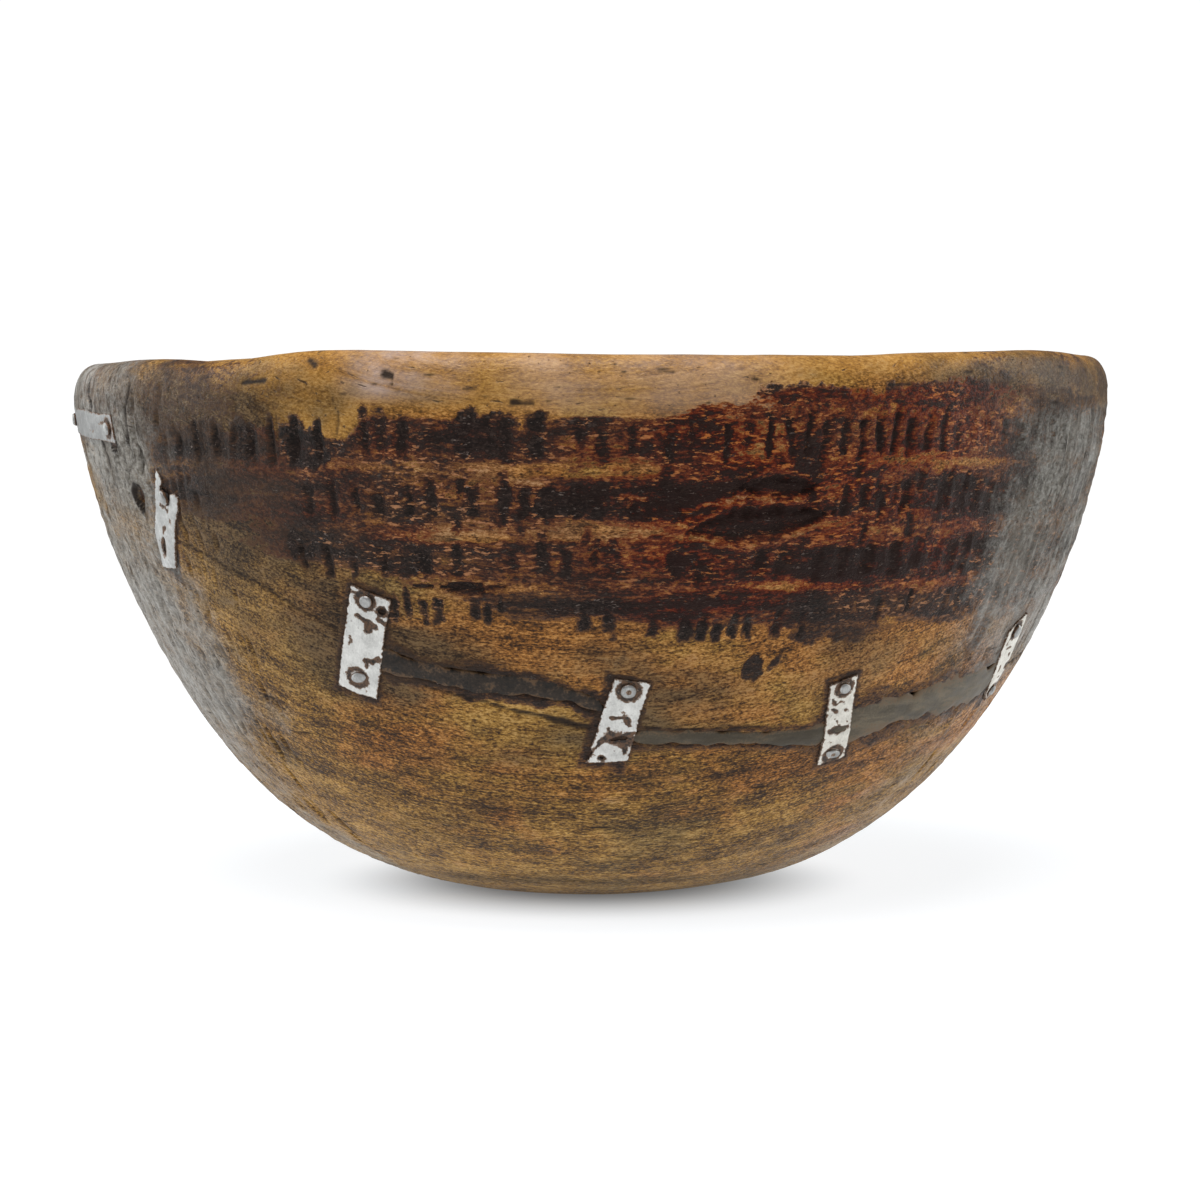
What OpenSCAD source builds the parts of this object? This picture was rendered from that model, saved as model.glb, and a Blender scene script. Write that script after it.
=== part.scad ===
// Hand-carved wooden bowl, cracked in use and mended with riveted metal strips.
// Origin: middle of the resting face. +Z up. The mended front looks along -Y.
// Azimuths are in degrees from the front (-Y) and grow towards +X.

/* [Bowl] */
// Outside diameter at the widest level
bowl_d = 420; // [380:5:460]
// Height of the rim above the resting face
bowl_h = 218; // [198:1:238]
// Diameter of the flat worn on the underside
base_d = 90; // [70:5:110]
// Fullness of the side: higher carries the belly lower
side_power = 1.48; // [1.40:0.02:1.60]
// Fullness of the bottom: lower makes it flatter
bottom_power = 0.36; // [0.34:0.01:0.42]

/* [Wall] */
// Thickness of the lip, just under the rim
lip_t = 20; // [16:1:24]
// Thickness half way down the wall
wall_t = 14; // [12:1:16]
// Thickness of the bottom in the middle
bottom_t = 18; // [16:1:24]
// Drop from the rim to the widest level
lip_drop = 16; // [12:1:18]

/* [Repair metal] */
// Thickness of the outside strips
strip_t = 0.9; // [0.6:0.1:1.5]
// Thickness of the backing strips inside the bowl
backing_t = 0.9; // [0.6:0.1:1.5]
// How much shorter and narrower a backing strip is than its outside strip
backing_inset = 1; // [0.5:0.5:2]
// Diameter of the rivet shanks
shank_d = 3.2; // [2.6:0.2:3.6]
// Diameter of the rivet heads
head_d = 5.4; // [4.8:0.2:6.4]
// Height of the domed rivet heads
head_h = 1.8; // [1.2:0.2:2.4]
// Height of the peened rivet tails
tail_h = 1.1; // [0.8:0.1:1.6]

/* [Rim strap] */
// Azimuth of its middle
rim_strap_az = -72; // [-76:1:-70]
// Depth of its middle below the rim
rim_strap_drop = 28; // [28:1:32]
// Lean of its front end towards +X, from upright
rim_strap_lean = 92; // [88:1:96]
// Length
rim_strap_len = 80; // [70:1:90]
// Width
rim_strap_w = 11; // [9:0.5:13]

/* [Left strip] */
// Azimuth of its middle
left_az = -54; // [-57:1:-52]
// Height of its middle
left_z = 151; // [145:1:155]
// Lean of its top towards +X
left_lean = 27; // [20:1:32]
// Length
left_len = 38; // [32:1:44]
// Width
left_w = 12; // [10:0.5:15]

/* [Near left strip] */
// Azimuth of its middle
near_left_az = -27; // [-31:1:-24]
// Height of its middle
near_left_z = 111; // [106:1:116]
// Lean of its top towards +X
near_left_lean = 21; // [15:1:28]
// Length
near_left_len = 46.5; // [40:0.5:52]
// Width
near_left_w = 16; // [12:0.5:19]

/* [Centre strip] */
// Azimuth of its middle
centre_az = 3; // [0:1:6]
// Height of its middle
centre_z = 81; // [77:1:85]
// Lean of its top towards +X
centre_lean = 13; // [8:1:18]
// Length
centre_len = 41; // [36:1:46]
// Width
centre_w = 14; // [11:0.5:17]

/* [Near right strip] */
// Azimuth of its middle
near_right_az = 34; // [31:1:37]
// Height of its middle
near_right_z = 79; // [75:1:83]
// Lean of its top towards +X
near_right_lean = -15; // [-20:1:-10]
// Length
near_right_len = 42; // [38:1:46]
// Width
near_right_w = 12; // [10:0.5:15]

/* [Right strip] */
// Azimuth of its middle
right_az = 66; // [63:1:69]
// Height of its middle
right_z = 97; // [93:1:101]
// Lean of its top towards +X
right_lean = -21; // [-26:1:-16]
// Length
right_len = 42; // [38:1:46]
// Width
right_w = 14; // [11:0.5:17]

/* [Crack fillings] */
// Usual width of the dark pitch, left of the centre strip
pitch_w = 9; // [6:0.5:11]
// Width of the grey mastic where it is spread widest, right of the near right strip
mastic_w = 18; // [12:0.5:20]
// Depth of both, measured into the wall
filling_depth = 5; // [3:0.5:7]

/* [Hidden] */
$fn = 180;
fit_gap = 0.05;
round_fn = 48;
outline_steps = 36;
lip_steps = 8;
dome_step = 15;
normal_step = 0.3;
cut_reach = 12;

// How fast the wall loses the extra thickness of the lip and of the bottom
lip_fade = 6;
bottom_fade = 8;

// The rivets: height of a head's upright edge, and how the tail is smaller than the head
head_edge_h = 0.3;
tail_less = 0.3;
tail_taper = 0.7;

// How far one side of a strip's end stands past the other
rim_strap_slant = 2;
left_slant = 3;
near_left_slant = 0.5;
centre_slant = 2;
near_right_slant = 0.5;
right_slant = 2;

// Distances of the rivets from the ends of their strips
rim_strap_rivet_in = 6;
left_rivet_in = 5;
near_left_top_rivet_in = 4.5;
near_left_bottom_rivet_in = 8;
centre_rivet_in = 4;
near_right_rivet_in = 4.5;
right_rivet_in = 6;

bowl_r = bowl_d / 2;
base_r = base_d / 2;
wide_z = bowl_h - lip_drop;
lip_r = lip_t / 2;
inner_lip_drop = lip_drop / 2;
shank_r = shank_d / 2;
head_r = head_d / 2;
tail_r = head_r - tail_less;
rim_strap_z = bowl_h - rim_strap_drop;

// The side is a superellipse: at parameter angle a, 0 at the widest level and 90 at the axis,
// r = bowl_r * cos(a)^(2 * bottom_power) and its depth goes as sin(a)^(2 / side_power).
base_a = acos(pow(base_r / bowl_r, 1 / (2 * bottom_power)));
full_depth = wide_z / pow(sin(base_a), 2 / side_power);

function side_r(a) = bowl_r * pow(max(cos(a), 0), 2 * bottom_power);
function side_z(a) = wide_z - full_depth * pow(sin(a), 2 / side_power);
function side_point(a) = [side_r(a), side_z(a)];
function side_angle(z) = asin(pow((wide_z - z) / full_depth, side_power / 2));

// Unit outward normal of the side, as [radial, vertical]
function side_normal(a) =
    let (step = side_point(min(a + normal_step, 90)) - side_point(max(a - normal_step, 0)))
    [-step[1], step[0]] / norm(step);

// The side moved outward by d, or inward where d is negative
function side_offset(a, d) = side_point(a) + d * side_normal(a);

// The wall thins from the lip to the middle and thickens again to the bottom
function wall_at(a) =
    wall_t + (lip_t - wall_t) * pow(cos(a), lip_fade) + (bottom_t - wall_t) * pow(sin(a), bottom_fade);
function hollow_point(a, d = 0) = side_offset(a, -wall_at(a) - d);

function reversed(list) = [for (i = [len(list) - 1 : -1 : 0]) list[i]];

side_angles = [for (i = [0 : outline_steps]) base_a * (1 - i / outline_steps)];
hollow_angles = [for (i = [0 : outline_steps - 1]) 90 * i / outline_steps];
lip_angles = [for (i = [1 : lip_steps]) 90 * i / lip_steps];

bowl_outline = concat(
    [[0, 0]],
    [for (a = side_angles) side_point(a)],
    [for (q = lip_angles)
        [bowl_r - lip_r + lip_r * cos(q), wide_z + lip_drop * sin(q)]],
    [for (q = lip_angles)
        [bowl_r - lip_r - lip_r * sin(q), bowl_h - inner_lip_drop * (1 - cos(q))]],
    [for (a = hollow_angles) hollow_point(a)],
    [[0, side_z(90) + bottom_t]]
);

// A repair: [azimuth, height, lean, length, width, end slant, rivets along it from its middle]
rim_strap = [rim_strap_az, rim_strap_z, rim_strap_lean, rim_strap_len, rim_strap_w, rim_strap_slant,
    [rim_strap_rivet_in - rim_strap_len / 2, rim_strap_len / 2 - rim_strap_rivet_in]];
left = [left_az, left_z, left_lean, left_len, left_w, left_slant,
    [left_len / 2 - left_rivet_in]];
near_left = [near_left_az, near_left_z, near_left_lean, near_left_len, near_left_w, near_left_slant,
    [near_left_len / 2 - near_left_top_rivet_in, near_left_bottom_rivet_in - near_left_len / 2]];
centre = [centre_az, centre_z, centre_lean, centre_len, centre_w, centre_slant,
    [centre_len / 2 - centre_rivet_in]];
near_right = [near_right_az, near_right_z, near_right_lean, near_right_len, near_right_w,
    near_right_slant,
    [near_right_len / 2 - near_right_rivet_in, near_right_rivet_in - near_right_len / 2]];
right = [right_az, right_z, right_lean, right_len, right_w, right_slant,
    [right_len / 2 - right_rivet_in, right_rivet_in - right_len / 2]];
repairs = [rim_strap, left, near_left, centre, near_right, right];

function az_of(r) = r[0];
function z_of(r) = r[1];
function lean_of(r) = r[2];
function len_of(r) = r[3];
function w_of(r) = r[4];
function slant_of(r) = r[5];
function rivets_of(r) = r[6];

// Courses of the filled crack as [azimuth, height, share of the full width], from left to right
pitch_course = [
    [-27, 108.5, 1.3], [-23.5, 104, 1.3], [-19.5, 101, 0.9], [-13.5, 98, 1.2],
    [-7.5, 96, 1], [-2, 92, 0.8], [1.5, 87, 0.8]
];
mastic_course = [
    [5, 76, 0.4], [14, 75, 0.4], [23, 74, 0.4], [30, 73.5, 0.5], [34, 75.5, 1],
    [39, 78.5, 1.1], [45, 82, 0.9], [51, 85, 0.9], [58, 87.5, 1], [66, 91, 1]
];

// Puts children on the side: X along the rim, Z out of the wood, and Y up the side,
// turned by the lean towards +X
module on_side(az, z, lean = 0) {
    a = side_angle(z);
    n = side_normal(a);
    translate([side_r(a) * sin(az), -side_r(a) * cos(az), z])
        rotate([0, 0, az])
            rotate([90 + atan2(-n[1], n[0]), 0, 0])
                rotate([0, 0, -lean])
                    children();
}

// Height on the side at a distance along a repair from its middle
function rivet_z(r, along) = z_of(r) + along * cos(lean_of(r)) * side_normal(side_angle(z_of(r)))[0];

// Puts children on the side at a distance along a repair from its middle, square to the wood
module on_rivet(r, along) {
    turn = along * sin(lean_of(r)) / side_r(side_angle(z_of(r))) * 180 / PI;
    on_side(az_of(r) + turn, rivet_z(r, along)) children();
}

// Hand-cut outline of a strip: a rectangle with slanting ends
module strip_outline(r, inset = 0) {
    half_len = len_of(r) / 2 - inset;
    half_w = w_of(r) / 2 - inset;
    polygon([
        [-half_w, half_len - slant_of(r)],
        [half_w, half_len],
        [half_w, slant_of(r) - half_len],
        [-half_w, -half_len]
    ]);
}

// What lies under a strip's outline, between two distances from the side
module strip_prism(r, low, high, inset = 0) {
    on_side(az_of(r), z_of(r), lean_of(r))
        translate([0, 0, low])
            linear_extrude(high - low) strip_outline(r, inset);
}

module rivet_bores(r) {
    for (along = rivets_of(r))
        on_rivet(r, along)
            translate([0, 0, -lip_t - cut_reach])
                cylinder(r = shank_r + fit_gap, h = lip_t + 2 * cut_reach, $fn = round_fn);
}

// Course of a filling: a run of boxes with round joints, sunk into the wall
module course(points, w) {
    for (i = [0 : len(points) - 2]) {
        mid = (points[i] + points[i + 1]) / 2;
        a = side_angle(mid[1]);
        step = points[i + 1] - points[i];
        run = [step[0] * PI / 180 * side_r(a), step[1] / side_normal(a)[0]];
        on_side(mid[0], mid[1], atan2(run[0], run[1]))
            translate([-w * mid[2] / 2, -norm(run) / 2, -filling_depth])
                cube([w * mid[2], norm(run), filling_depth + cut_reach]);
    }
    for (p = points)
        on_side(p[0], p[1])
            translate([0, 0, -filling_depth])
                cylinder(d = w * p[2], h = filling_depth + cut_reach, $fn = round_fn);
}

module whole_bowl() {
    rotate_extrude() polygon(bowl_outline);
}

module bowl_body() {
    color("#8a5f35")
        difference() {
            whole_bowl();
            for (r = repairs) rivet_bores(r);
            course(pitch_course, pitch_w);
            course(mastic_course, mastic_w);
        }
}

module filling(points, w) {
    intersection() {
        whole_bowl();
        course(points, w);
    }
}

module pitch_filling() {
    color("#2e2420") filling(pitch_course, pitch_w);
}

module mastic_filling() {
    color("#77756a") filling(mastic_course, mastic_w);
}

// Outside strip, bent to the side
module strip(r) {
    color("#dcdcd6")
        difference() {
            intersection() {
                rotate_extrude()
                    polygon(concat(
                        [for (a = side_angles) side_point(a)],
                        reversed([for (a = side_angles) side_offset(a, strip_t)])
                    ));
                strip_prism(r, -cut_reach, cut_reach);
            }
            rivet_bores(r);
        }
}

// Backing strip, bent to the hollow behind its outside strip
module backing(r) {
    wall = wall_at(side_angle(z_of(r)));
    color("#b4b4ae")
        difference() {
            intersection() {
                rotate_extrude()
                    polygon(concat(
                        [for (a = hollow_angles) hollow_point(a)],
                        reversed([for (a = hollow_angles) hollow_point(a, backing_t)])
                    ));
                strip_prism(r, -wall - cut_reach, cut_reach - wall, backing_inset);
            }
            rivet_bores(r);
        }
}

// Rivet: a domed head outside, a shank through the wall and a tail peened over inside
module rivet(r, along) {
    depth = wall_at(side_angle(rivet_z(r, along))) + backing_t;
    color("#c9c9c4")
        on_rivet(r, along)
            rotate_extrude($fn = round_fn)
                polygon(concat(
                    [[0, -depth - tail_h], [tail_r * tail_taper, -depth - tail_h], [tail_r, -depth]],
                    [[shank_r, -depth], [shank_r, strip_t]],
                    [for (q = [0 : dome_step : 90])
                        [head_r * cos(q), strip_t + head_edge_h * cos(q) + head_h * sin(q)]]
                ));
}

bowl_body();
pitch_filling();
mastic_filling();
strip(rim_strap);
backing(rim_strap);  // rim_strap_backing
rivet(rim_strap, rivets_of(rim_strap)[1]);  // rim_strap_front_rivet
rivet(rim_strap, rivets_of(rim_strap)[0]);  // rim_strap_back_rivet
strip(left);  // left_strip
backing(left);  // left_backing
rivet(left, rivets_of(left)[0]);  // left_rivet
strip(near_left);  // near_left_strip
backing(near_left);  // near_left_backing
rivet(near_left, rivets_of(near_left)[0]);  // near_left_top_rivet
rivet(near_left, rivets_of(near_left)[1]);  // near_left_bottom_rivet
strip(centre);  // centre_strip
backing(centre);  // centre_backing
rivet(centre, rivets_of(centre)[0]);  // centre_rivet
strip(near_right);  // near_right_strip
backing(near_right);  // near_right_backing
rivet(near_right, rivets_of(near_right)[0]);  // near_right_top_rivet
rivet(near_right, rivets_of(near_right)[1]);  // near_right_bottom_rivet
strip(right);  // right_strip
backing(right);  // right_backing
rivet(right, rivets_of(right)[0]);  // right_top_rivet
rivet(right, rivets_of(right)[1]);  // right_bottom_rivet
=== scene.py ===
"""A hand-carved wooden bowl, cracked in use and mended with riveted metal strips.

Lengths are in millimetres until a mesh is made, and in metres after that. Azimuths are in degrees
from the mended front (-Y) and grow towards +X. "along" is the distance along the profile, from
the middle of the underside up the side, over the lip and down the hollow to its lowest point.
"""
import math

import bpy
import numpy as np
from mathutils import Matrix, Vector
from mathutils.geometry import delaunay_2d_cdt


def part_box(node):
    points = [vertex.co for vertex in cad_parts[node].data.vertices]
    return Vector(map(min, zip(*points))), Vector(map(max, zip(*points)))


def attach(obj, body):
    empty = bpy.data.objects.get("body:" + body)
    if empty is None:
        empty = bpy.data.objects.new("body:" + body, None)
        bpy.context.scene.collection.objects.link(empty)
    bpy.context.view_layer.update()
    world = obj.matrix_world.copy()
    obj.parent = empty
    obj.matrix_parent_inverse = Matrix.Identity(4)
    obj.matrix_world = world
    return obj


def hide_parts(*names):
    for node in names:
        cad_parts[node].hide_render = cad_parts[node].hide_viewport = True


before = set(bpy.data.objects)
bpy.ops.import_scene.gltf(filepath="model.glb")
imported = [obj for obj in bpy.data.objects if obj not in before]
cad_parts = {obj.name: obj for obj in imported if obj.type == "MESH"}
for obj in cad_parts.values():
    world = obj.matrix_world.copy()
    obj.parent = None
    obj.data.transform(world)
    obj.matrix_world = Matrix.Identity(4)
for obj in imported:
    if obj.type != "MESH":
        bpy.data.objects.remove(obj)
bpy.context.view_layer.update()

MM = 0.001

# ---------------- profile of the bowl

BOWL_R = 210.0
BOWL_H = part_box("bowl_body")[1].z / MM
BASE_R = 45.0
SIDE_POWER = 1.48
BOTTOM_POWER = 0.36
LIP_T = 20.0
WALL_T = 14.0
BOTTOM_T = 18.0
LIP_DROP = 16.0
LIP_FULLNESS = 2.6
STRIP_T = 0.9

WIDE_Z = BOWL_H - LIP_DROP
LIP_R = LIP_T / 2
INNER_LIP_DROP = LIP_DROP / 2
BASE_ANGLE = math.acos((BASE_R / BOWL_R) ** (1 / (2 * BOTTOM_POWER)))
FULL_DEPTH = WIDE_Z / math.sin(BASE_ANGLE) ** (2 / SIDE_POWER)


def smooth(low, high, x):
    """0 at low and before it, 1 at high and past it, and a smooth step between."""
    t = np.clip((np.asarray(x, float) - low) / (high - low), 0, 1)
    return t * t * (3 - 2 * t)


def span(x, low, full, fade, high):
    """1 from full to fade, falling smoothly to 0 at low and at high."""
    return smooth(low, full, x) * smooth(high, fade, x)


def hump(x, middle, reach):
    """A bell of height 1 round its middle."""
    return np.exp(-((x - middle) / reach) ** 2)


def side_curve(a):
    """Points of the side at parameter angles a, 0 at the widest level."""
    r = BOWL_R * np.clip(np.cos(a), 0, 1) ** (2 * BOTTOM_POWER)
    z = WIDE_Z - FULL_DEPTH * np.sin(a) ** (2 / SIDE_POWER)
    return np.stack([r, z], 1)


def normals(points):
    """Unit normals of a polyline, on the right-hand side of its direction."""
    step = np.gradient(points, axis=0)
    step /= np.linalg.norm(step, axis=1)[:, None]
    return np.stack([step[:, 1], -step[:, 0]], 1)


def hollow_curve(a):
    """Points of the hollow, a wall's thickness inside the side."""
    side = side_curve(a)
    wall = WALL_T + (LIP_T - WALL_T) * np.cos(a) ** 6 + (BOTTOM_T - WALL_T) * np.sin(a) ** 8
    return side + normals(side) * wall[:, None]


def lip_curves():
    """The lip, from the widest level up to the rim, and on to the top of the hollow."""
    q = np.linspace(0, math.pi / 2, 60)[1:]
    e = 2 / LIP_FULLNESS
    outer = np.stack([BOWL_R - LIP_R + LIP_R * np.cos(q) ** e, WIDE_Z + LIP_DROP * np.sin(q) ** e], 1)
    inner = np.stack([BOWL_R - LIP_R - LIP_R * np.sin(q), BOWL_H - INNER_LIP_DROP * (1 - np.cos(q))], 1)
    return outer, inner


side_a = np.linspace(BASE_ANGLE, 0, 900)
hollow_a = np.linspace(0, math.pi / 2 - 0.02, 700)
base_line = np.stack([np.linspace(0, BASE_R, 40)[:-1], np.zeros(39)], 1)
side_line = side_curve(side_a)
lip_out, lip_in = lip_curves()
apex = np.array([[0.0, WIDE_Z - FULL_DEPTH + BOTTOM_T]])
PROFILE = np.concatenate([base_line, side_line, lip_out, lip_in, hollow_curve(hollow_a)[1:], apex])
PROFILE_S = np.concatenate([[0], np.cumsum(np.linalg.norm(np.diff(PROFILE, axis=0), axis=1))])
PROFILE_N = normals(PROFILE)
FIRST_SIDE = len(base_line)
RIM = FIRST_SIDE + len(side_line) - 1 + len(lip_out)
FIRST_HOLLOW = RIM + len(lip_in)


def along_at(z):
    """Distance along the profile of a height on the side or the outer lip."""
    part = slice(FIRST_SIDE, RIM + 1)
    return np.interp(z, PROFILE[part, 1], PROFILE_S[part])


def hollow_along_at(z):
    """Distance along the profile of the place in the hollow behind a height on the side."""
    a = np.interp(z, side_line[:, 1], side_a)
    return np.interp(a, hollow_a, PROFILE_S[FIRST_HOLLOW:FIRST_HOLLOW + len(hollow_a)])


def profile_point(along):
    """(radius, height) at distances along the profile."""
    return np.stack([np.interp(along, PROFILE_S, PROFILE[:, k]) for k in (0, 1)], -1)


def profile_normal(along):
    n = np.stack([np.interp(along, PROFILE_S, PROFILE_N[:, k]) for k in (0, 1)], -1)
    return n / np.linalg.norm(n, axis=-1, keepdims=True)


def radius_at(along):
    return float(profile_point(along)[0])


# ---------------- noise


def lattice(cell, seed):
    """A pseudo-random number in -1..1 for each whole-number cell."""
    h = (cell[0] * 374761393 + cell[1] * 668265263 + cell[2] * 1274126177 + seed * 974634777) & 0xFFFFFFFF
    h = ((h ^ (h >> 13)) * 1103515245 + 12345) & 0xFFFFFFFF
    h = ((h ^ (h >> 16)) * 2246822519) & 0xFFFFFFFF
    return ((h >> 8) & 0xFFFF) / 32767.5 - 1


def noise(p, size, seed):
    """Smooth noise in -1..1 at points p. size is the size of a feature, one number or one per axis."""
    q = np.asarray(p, float) / np.asarray(size, float)
    whole = np.floor(q)
    f = q - whole
    f = f * f * (3 - 2 * f)
    x, y, z = (whole[..., k].astype(np.int64) for k in range(3))
    out = 0.0
    for dx, dy, dz in np.ndindex(2, 2, 2):
        share = 1.0
        for k, d in enumerate((dx, dy, dz)):
            share = share * (f[..., k] if d else 1 - f[..., k])
        out = out + share * lattice((x + dx, y + dy, z + dz), seed)
    return out


def rough(p, size, seed, octaves=3):
    """Several layers of noise, each half the size and a little over half the height of the last."""
    total, height = 0.0, 1.0
    size = np.asarray(size, float)
    for k in range(octaves):
        total = total + height * noise(p, size / 2 ** k, seed + 17 * k)
        height *= 0.55
    return total


# ---------------- grid over the bowl

COLUMNS = 960
FRONT_CROWDING = 0.35
APEX_GAP = 4.0


def column_azimuths():
    """Column azimuths, closer together at the mended front."""
    az = np.linspace(-180, 180, 7201)
    weight = 1 + FRONT_CROWDING * np.cos(np.radians(az))
    cumulative = np.concatenate([[0], np.cumsum((weight[1:] + weight[:-1]) / 2)])
    return np.interp(np.arange(COLUMNS) / COLUMNS, cumulative / cumulative[-1], az)


def ring_places():
    """Distances along the profile of the rings, closer together where the carving is."""
    marks = [5.0, PROFILE_S[FIRST_SIDE], along_at(30.0), PROFILE_S[FIRST_HOLLOW], PROFILE_S[-1] - APEX_GAP]
    places = []
    for low, high, step in zip(marks[:-1], marks[1:], (4.0, 1.8, 1.22, 2.7)):
        places.extend(np.linspace(low, high, int((high - low) / step) + 1)[:-1])
    return np.array(places + [marks[-1]])


AZ = column_azimuths()
S = ring_places()
RINGS = len(S)
R, Z = profile_point(S).T
NORMAL = profile_normal(S)
SIN, COS = np.sin(np.radians(AZ)), np.cos(np.radians(AZ))
XYZ = np.stack([R[:, None] * SIN, -R[:, None] * COS, Z[:, None] * np.ones(COLUMNS)], -1)
OUTSIDE = S < PROFILE_S[RIM]
AZ2, Z2, OUT2 = (np.broadcast_to(v, (RINGS, COLUMNS)) for v in (AZ, Z[:, None], OUTSIDE[:, None]))
ON_SIDE = OUT2 * smooth(2, 8, Z2)


def window(az, along, reach_x, reach_s):
    """The grid's points near a place, and their distances from it in mm (x across, y up)."""
    rows = np.nonzero(np.abs(S - along) < reach_s)[0]
    offset = ((AZ - az + 180) % 360 - 180) * math.pi / 180
    cols = np.nonzero(np.abs(offset) * radius_at(along) < reach_x)[0]
    x = offset[cols][None, :] * R[rows][:, None]
    y = np.broadcast_to((S[rows] - along)[:, None], x.shape)
    return np.ix_(rows, cols), x, y


def near(az, z, reach_x, reach_y):
    """The grid's points near an azimuth and height on the side."""
    return window(az, float(along_at(z)), reach_x, reach_y)


def near_line(points, reach):
    """Distance from a line of (azimuth, along, half width) points, in half widths."""
    best = np.full((RINGS, COLUMNS), 9.0)
    for (az_a, s_a, w_a), (az_b, s_b, w_b) in zip(points[:-1], points[1:]):
        mid_az, mid_s = (az_a + az_b) / 2, (s_a + s_b) / 2
        half = np.array([(az_b - az_a) * math.pi / 180 * radius_at(mid_s), s_b - s_a]) / 2
        at, x, y = window(mid_az, mid_s, abs(half[0]) + reach, abs(half[1]) + reach)
        t = np.clip((x * half[0] + y * half[1]) / max(float(half @ half), 1e-9), -1, 1)
        w = w_a + (w_b - w_a) * (t + 1) / 2
        best[at] = np.minimum(best[at], np.hypot(x - t * half[0], y - t * half[1]) / w)
    return best


def line_points(points, width):
    """(azimuth, height, share of the width) points as (azimuth, along, half width)."""
    return [(p[0], float(along_at(p[1])), width * (p[2] if len(p) > 2 else 1) / 2) for p in points]


def finer(points, step):
    """The same line with points every step mm or so, so that it can wander."""
    out = []
    for a, b in zip(points[:-1], points[1:]):
        length = math.hypot((b[0] - a[0]) * math.pi / 180 * radius_at(a[1]), b[1] - a[1])
        n = max(1, int(length / step))
        out += [tuple(a[k] + (b[k] - a[k]) * i / n for k in range(3)) for i in range(n)]
    return out + [points[-1]]


def wandering(points, width, step, sway, seed):
    """A line with points every step mm, moved off its course by up to sway mm."""
    draw = np.random.default_rng(seed)
    out = []
    for az, along, half in finer(line_points(points, width), step):
        dx, dy = draw.normal(0, sway / 2, 2)
        out.append((az + math.degrees(dx / radius_at(along)), along + dy, half * draw.uniform(0.7, 1.35)))
    return out


# ---------------- the repairs

# name: azimuth, height, lean of the top towards +X, length, width, rivets up it from its middle
REPAIRS = {
    "rim_strap": (-72, BOWL_H - 28, 92, 80, 11, {"front": 34, "back": -34}),
    "left": (-54, 151, 27, 38, 12, {"": 14}),
    "near_left": (-27, 111, 21, 46.5, 16, {"top": 18.75, "bottom": -15.25}),
    "centre": (3, 81, 13, 41, 14, {"": 16.5}),
    "near_right": (34, 79, -15, 42, 12, {"top": 16.5, "bottom": -16.5}),
    "right": (66, 97, -21, 42, 14, {"top": 15, "bottom": -15}),
}

# Courses of the filled crack: azimuth, height, share of the full width
PITCH_W = 9.0
PITCH_COURSE = [
    (-27, 108.5, 1.3), (-23.5, 104, 1.3), (-19.5, 101, 0.9), (-13.5, 98, 1.2),
    (-7.5, 96, 1), (-2, 92, 0.8), (1.5, 87, 0.8),
]
MASTIC_W = 18.0
MASTIC_COURSE = [
    (5, 76, 0.4), (14, 75, 0.4), (23, 74, 0.4), (30, 73.5, 0.5), (34, 75.5, 1),
    (39, 78.5, 1.1), (45, 82, 0.9), (51, 85, 0.9), (58, 87.5, 1), (66, 91, 1),
]


def on_strip(repair, x, y, hollow=False):
    """(azimuth, along) of a point x across and y up a strip, from the strip's middle."""
    az, z, lean = REPAIRS[repair][:3]
    lean = math.radians(lean)
    side = float(along_at(z))
    up = y * math.cos(lean) - x * math.sin(lean)
    r = profile_point(side + up)[..., 0]
    azimuth = az + np.degrees((x * math.cos(lean) + y * math.sin(lean)) / r)
    return azimuth, (float(hollow_along_at(z)) - up if hollow else side + up)


# ---------------- relief and stains of the bowl

relief, char, red, grey, dirt_and_shadow, gold, polish, flute = (np.zeros((RINGS, COLUMNS)) for _ in range(8))


def press(field, value, at=...):
    """Raise a stain to at least a value, everywhere or at some of the grid's points."""
    field[at] = np.maximum(field[at], value)


# Out-of-true body of a bowl carved by eye
LUMP = 95.0
low_relief = 1.1 * noise(XYZ, LUMP, 3) + 0.5 * noise(XYZ, 42.0, 4)
relief += low_relief * np.where(OUTSIDE, smooth(0, 14, S - PROFILE_S[FIRST_SIDE] + 10), 1)[:, None]

# Height of the rim above or below the CAD rim, by azimuth
RIM_SWAY = [
    (-180, -1.5), (-150, -0.5), (-125, -3), (-100, -5), (-80, -6), (-68, -5), (-60, -3.8), (-50, -3.2),
    (-43, -3.6), (-38, -2.2), (-32, 0.6), (-27, 1.3), (-20, 0.7), (-10, 0.2), (0, -0.8), (10, -1.3),
    (22, -1.5), (30, -1.4), (38, -0.5), (44, 0.2), (55, 0.8), (63, 0.2), (72, -1.2), (90, -2.5),
    (115, -1), (140, -2), (160, -1.5), (180, -1.5),
]
rim_sway = np.interp(AZ, *zip(*RIM_SWAY))
rim_sway = np.convolve(np.concatenate([rim_sway[-12:], rim_sway, rim_sway[:12]]), np.ones(25) / 25, "valid")
LIP_SHARE = np.where(OUTSIDE, smooth(BOWL_H - 42, BOWL_H - 1, Z), smooth(BOWL_H - 50, BOWL_H - 4, Z))

# The rows of tool marks: height of the middle, half height
ROWS = [(187.8, 8.8), (165.5, 8.0), (142.5, 7.5), (125.5, 6.0)]
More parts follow.
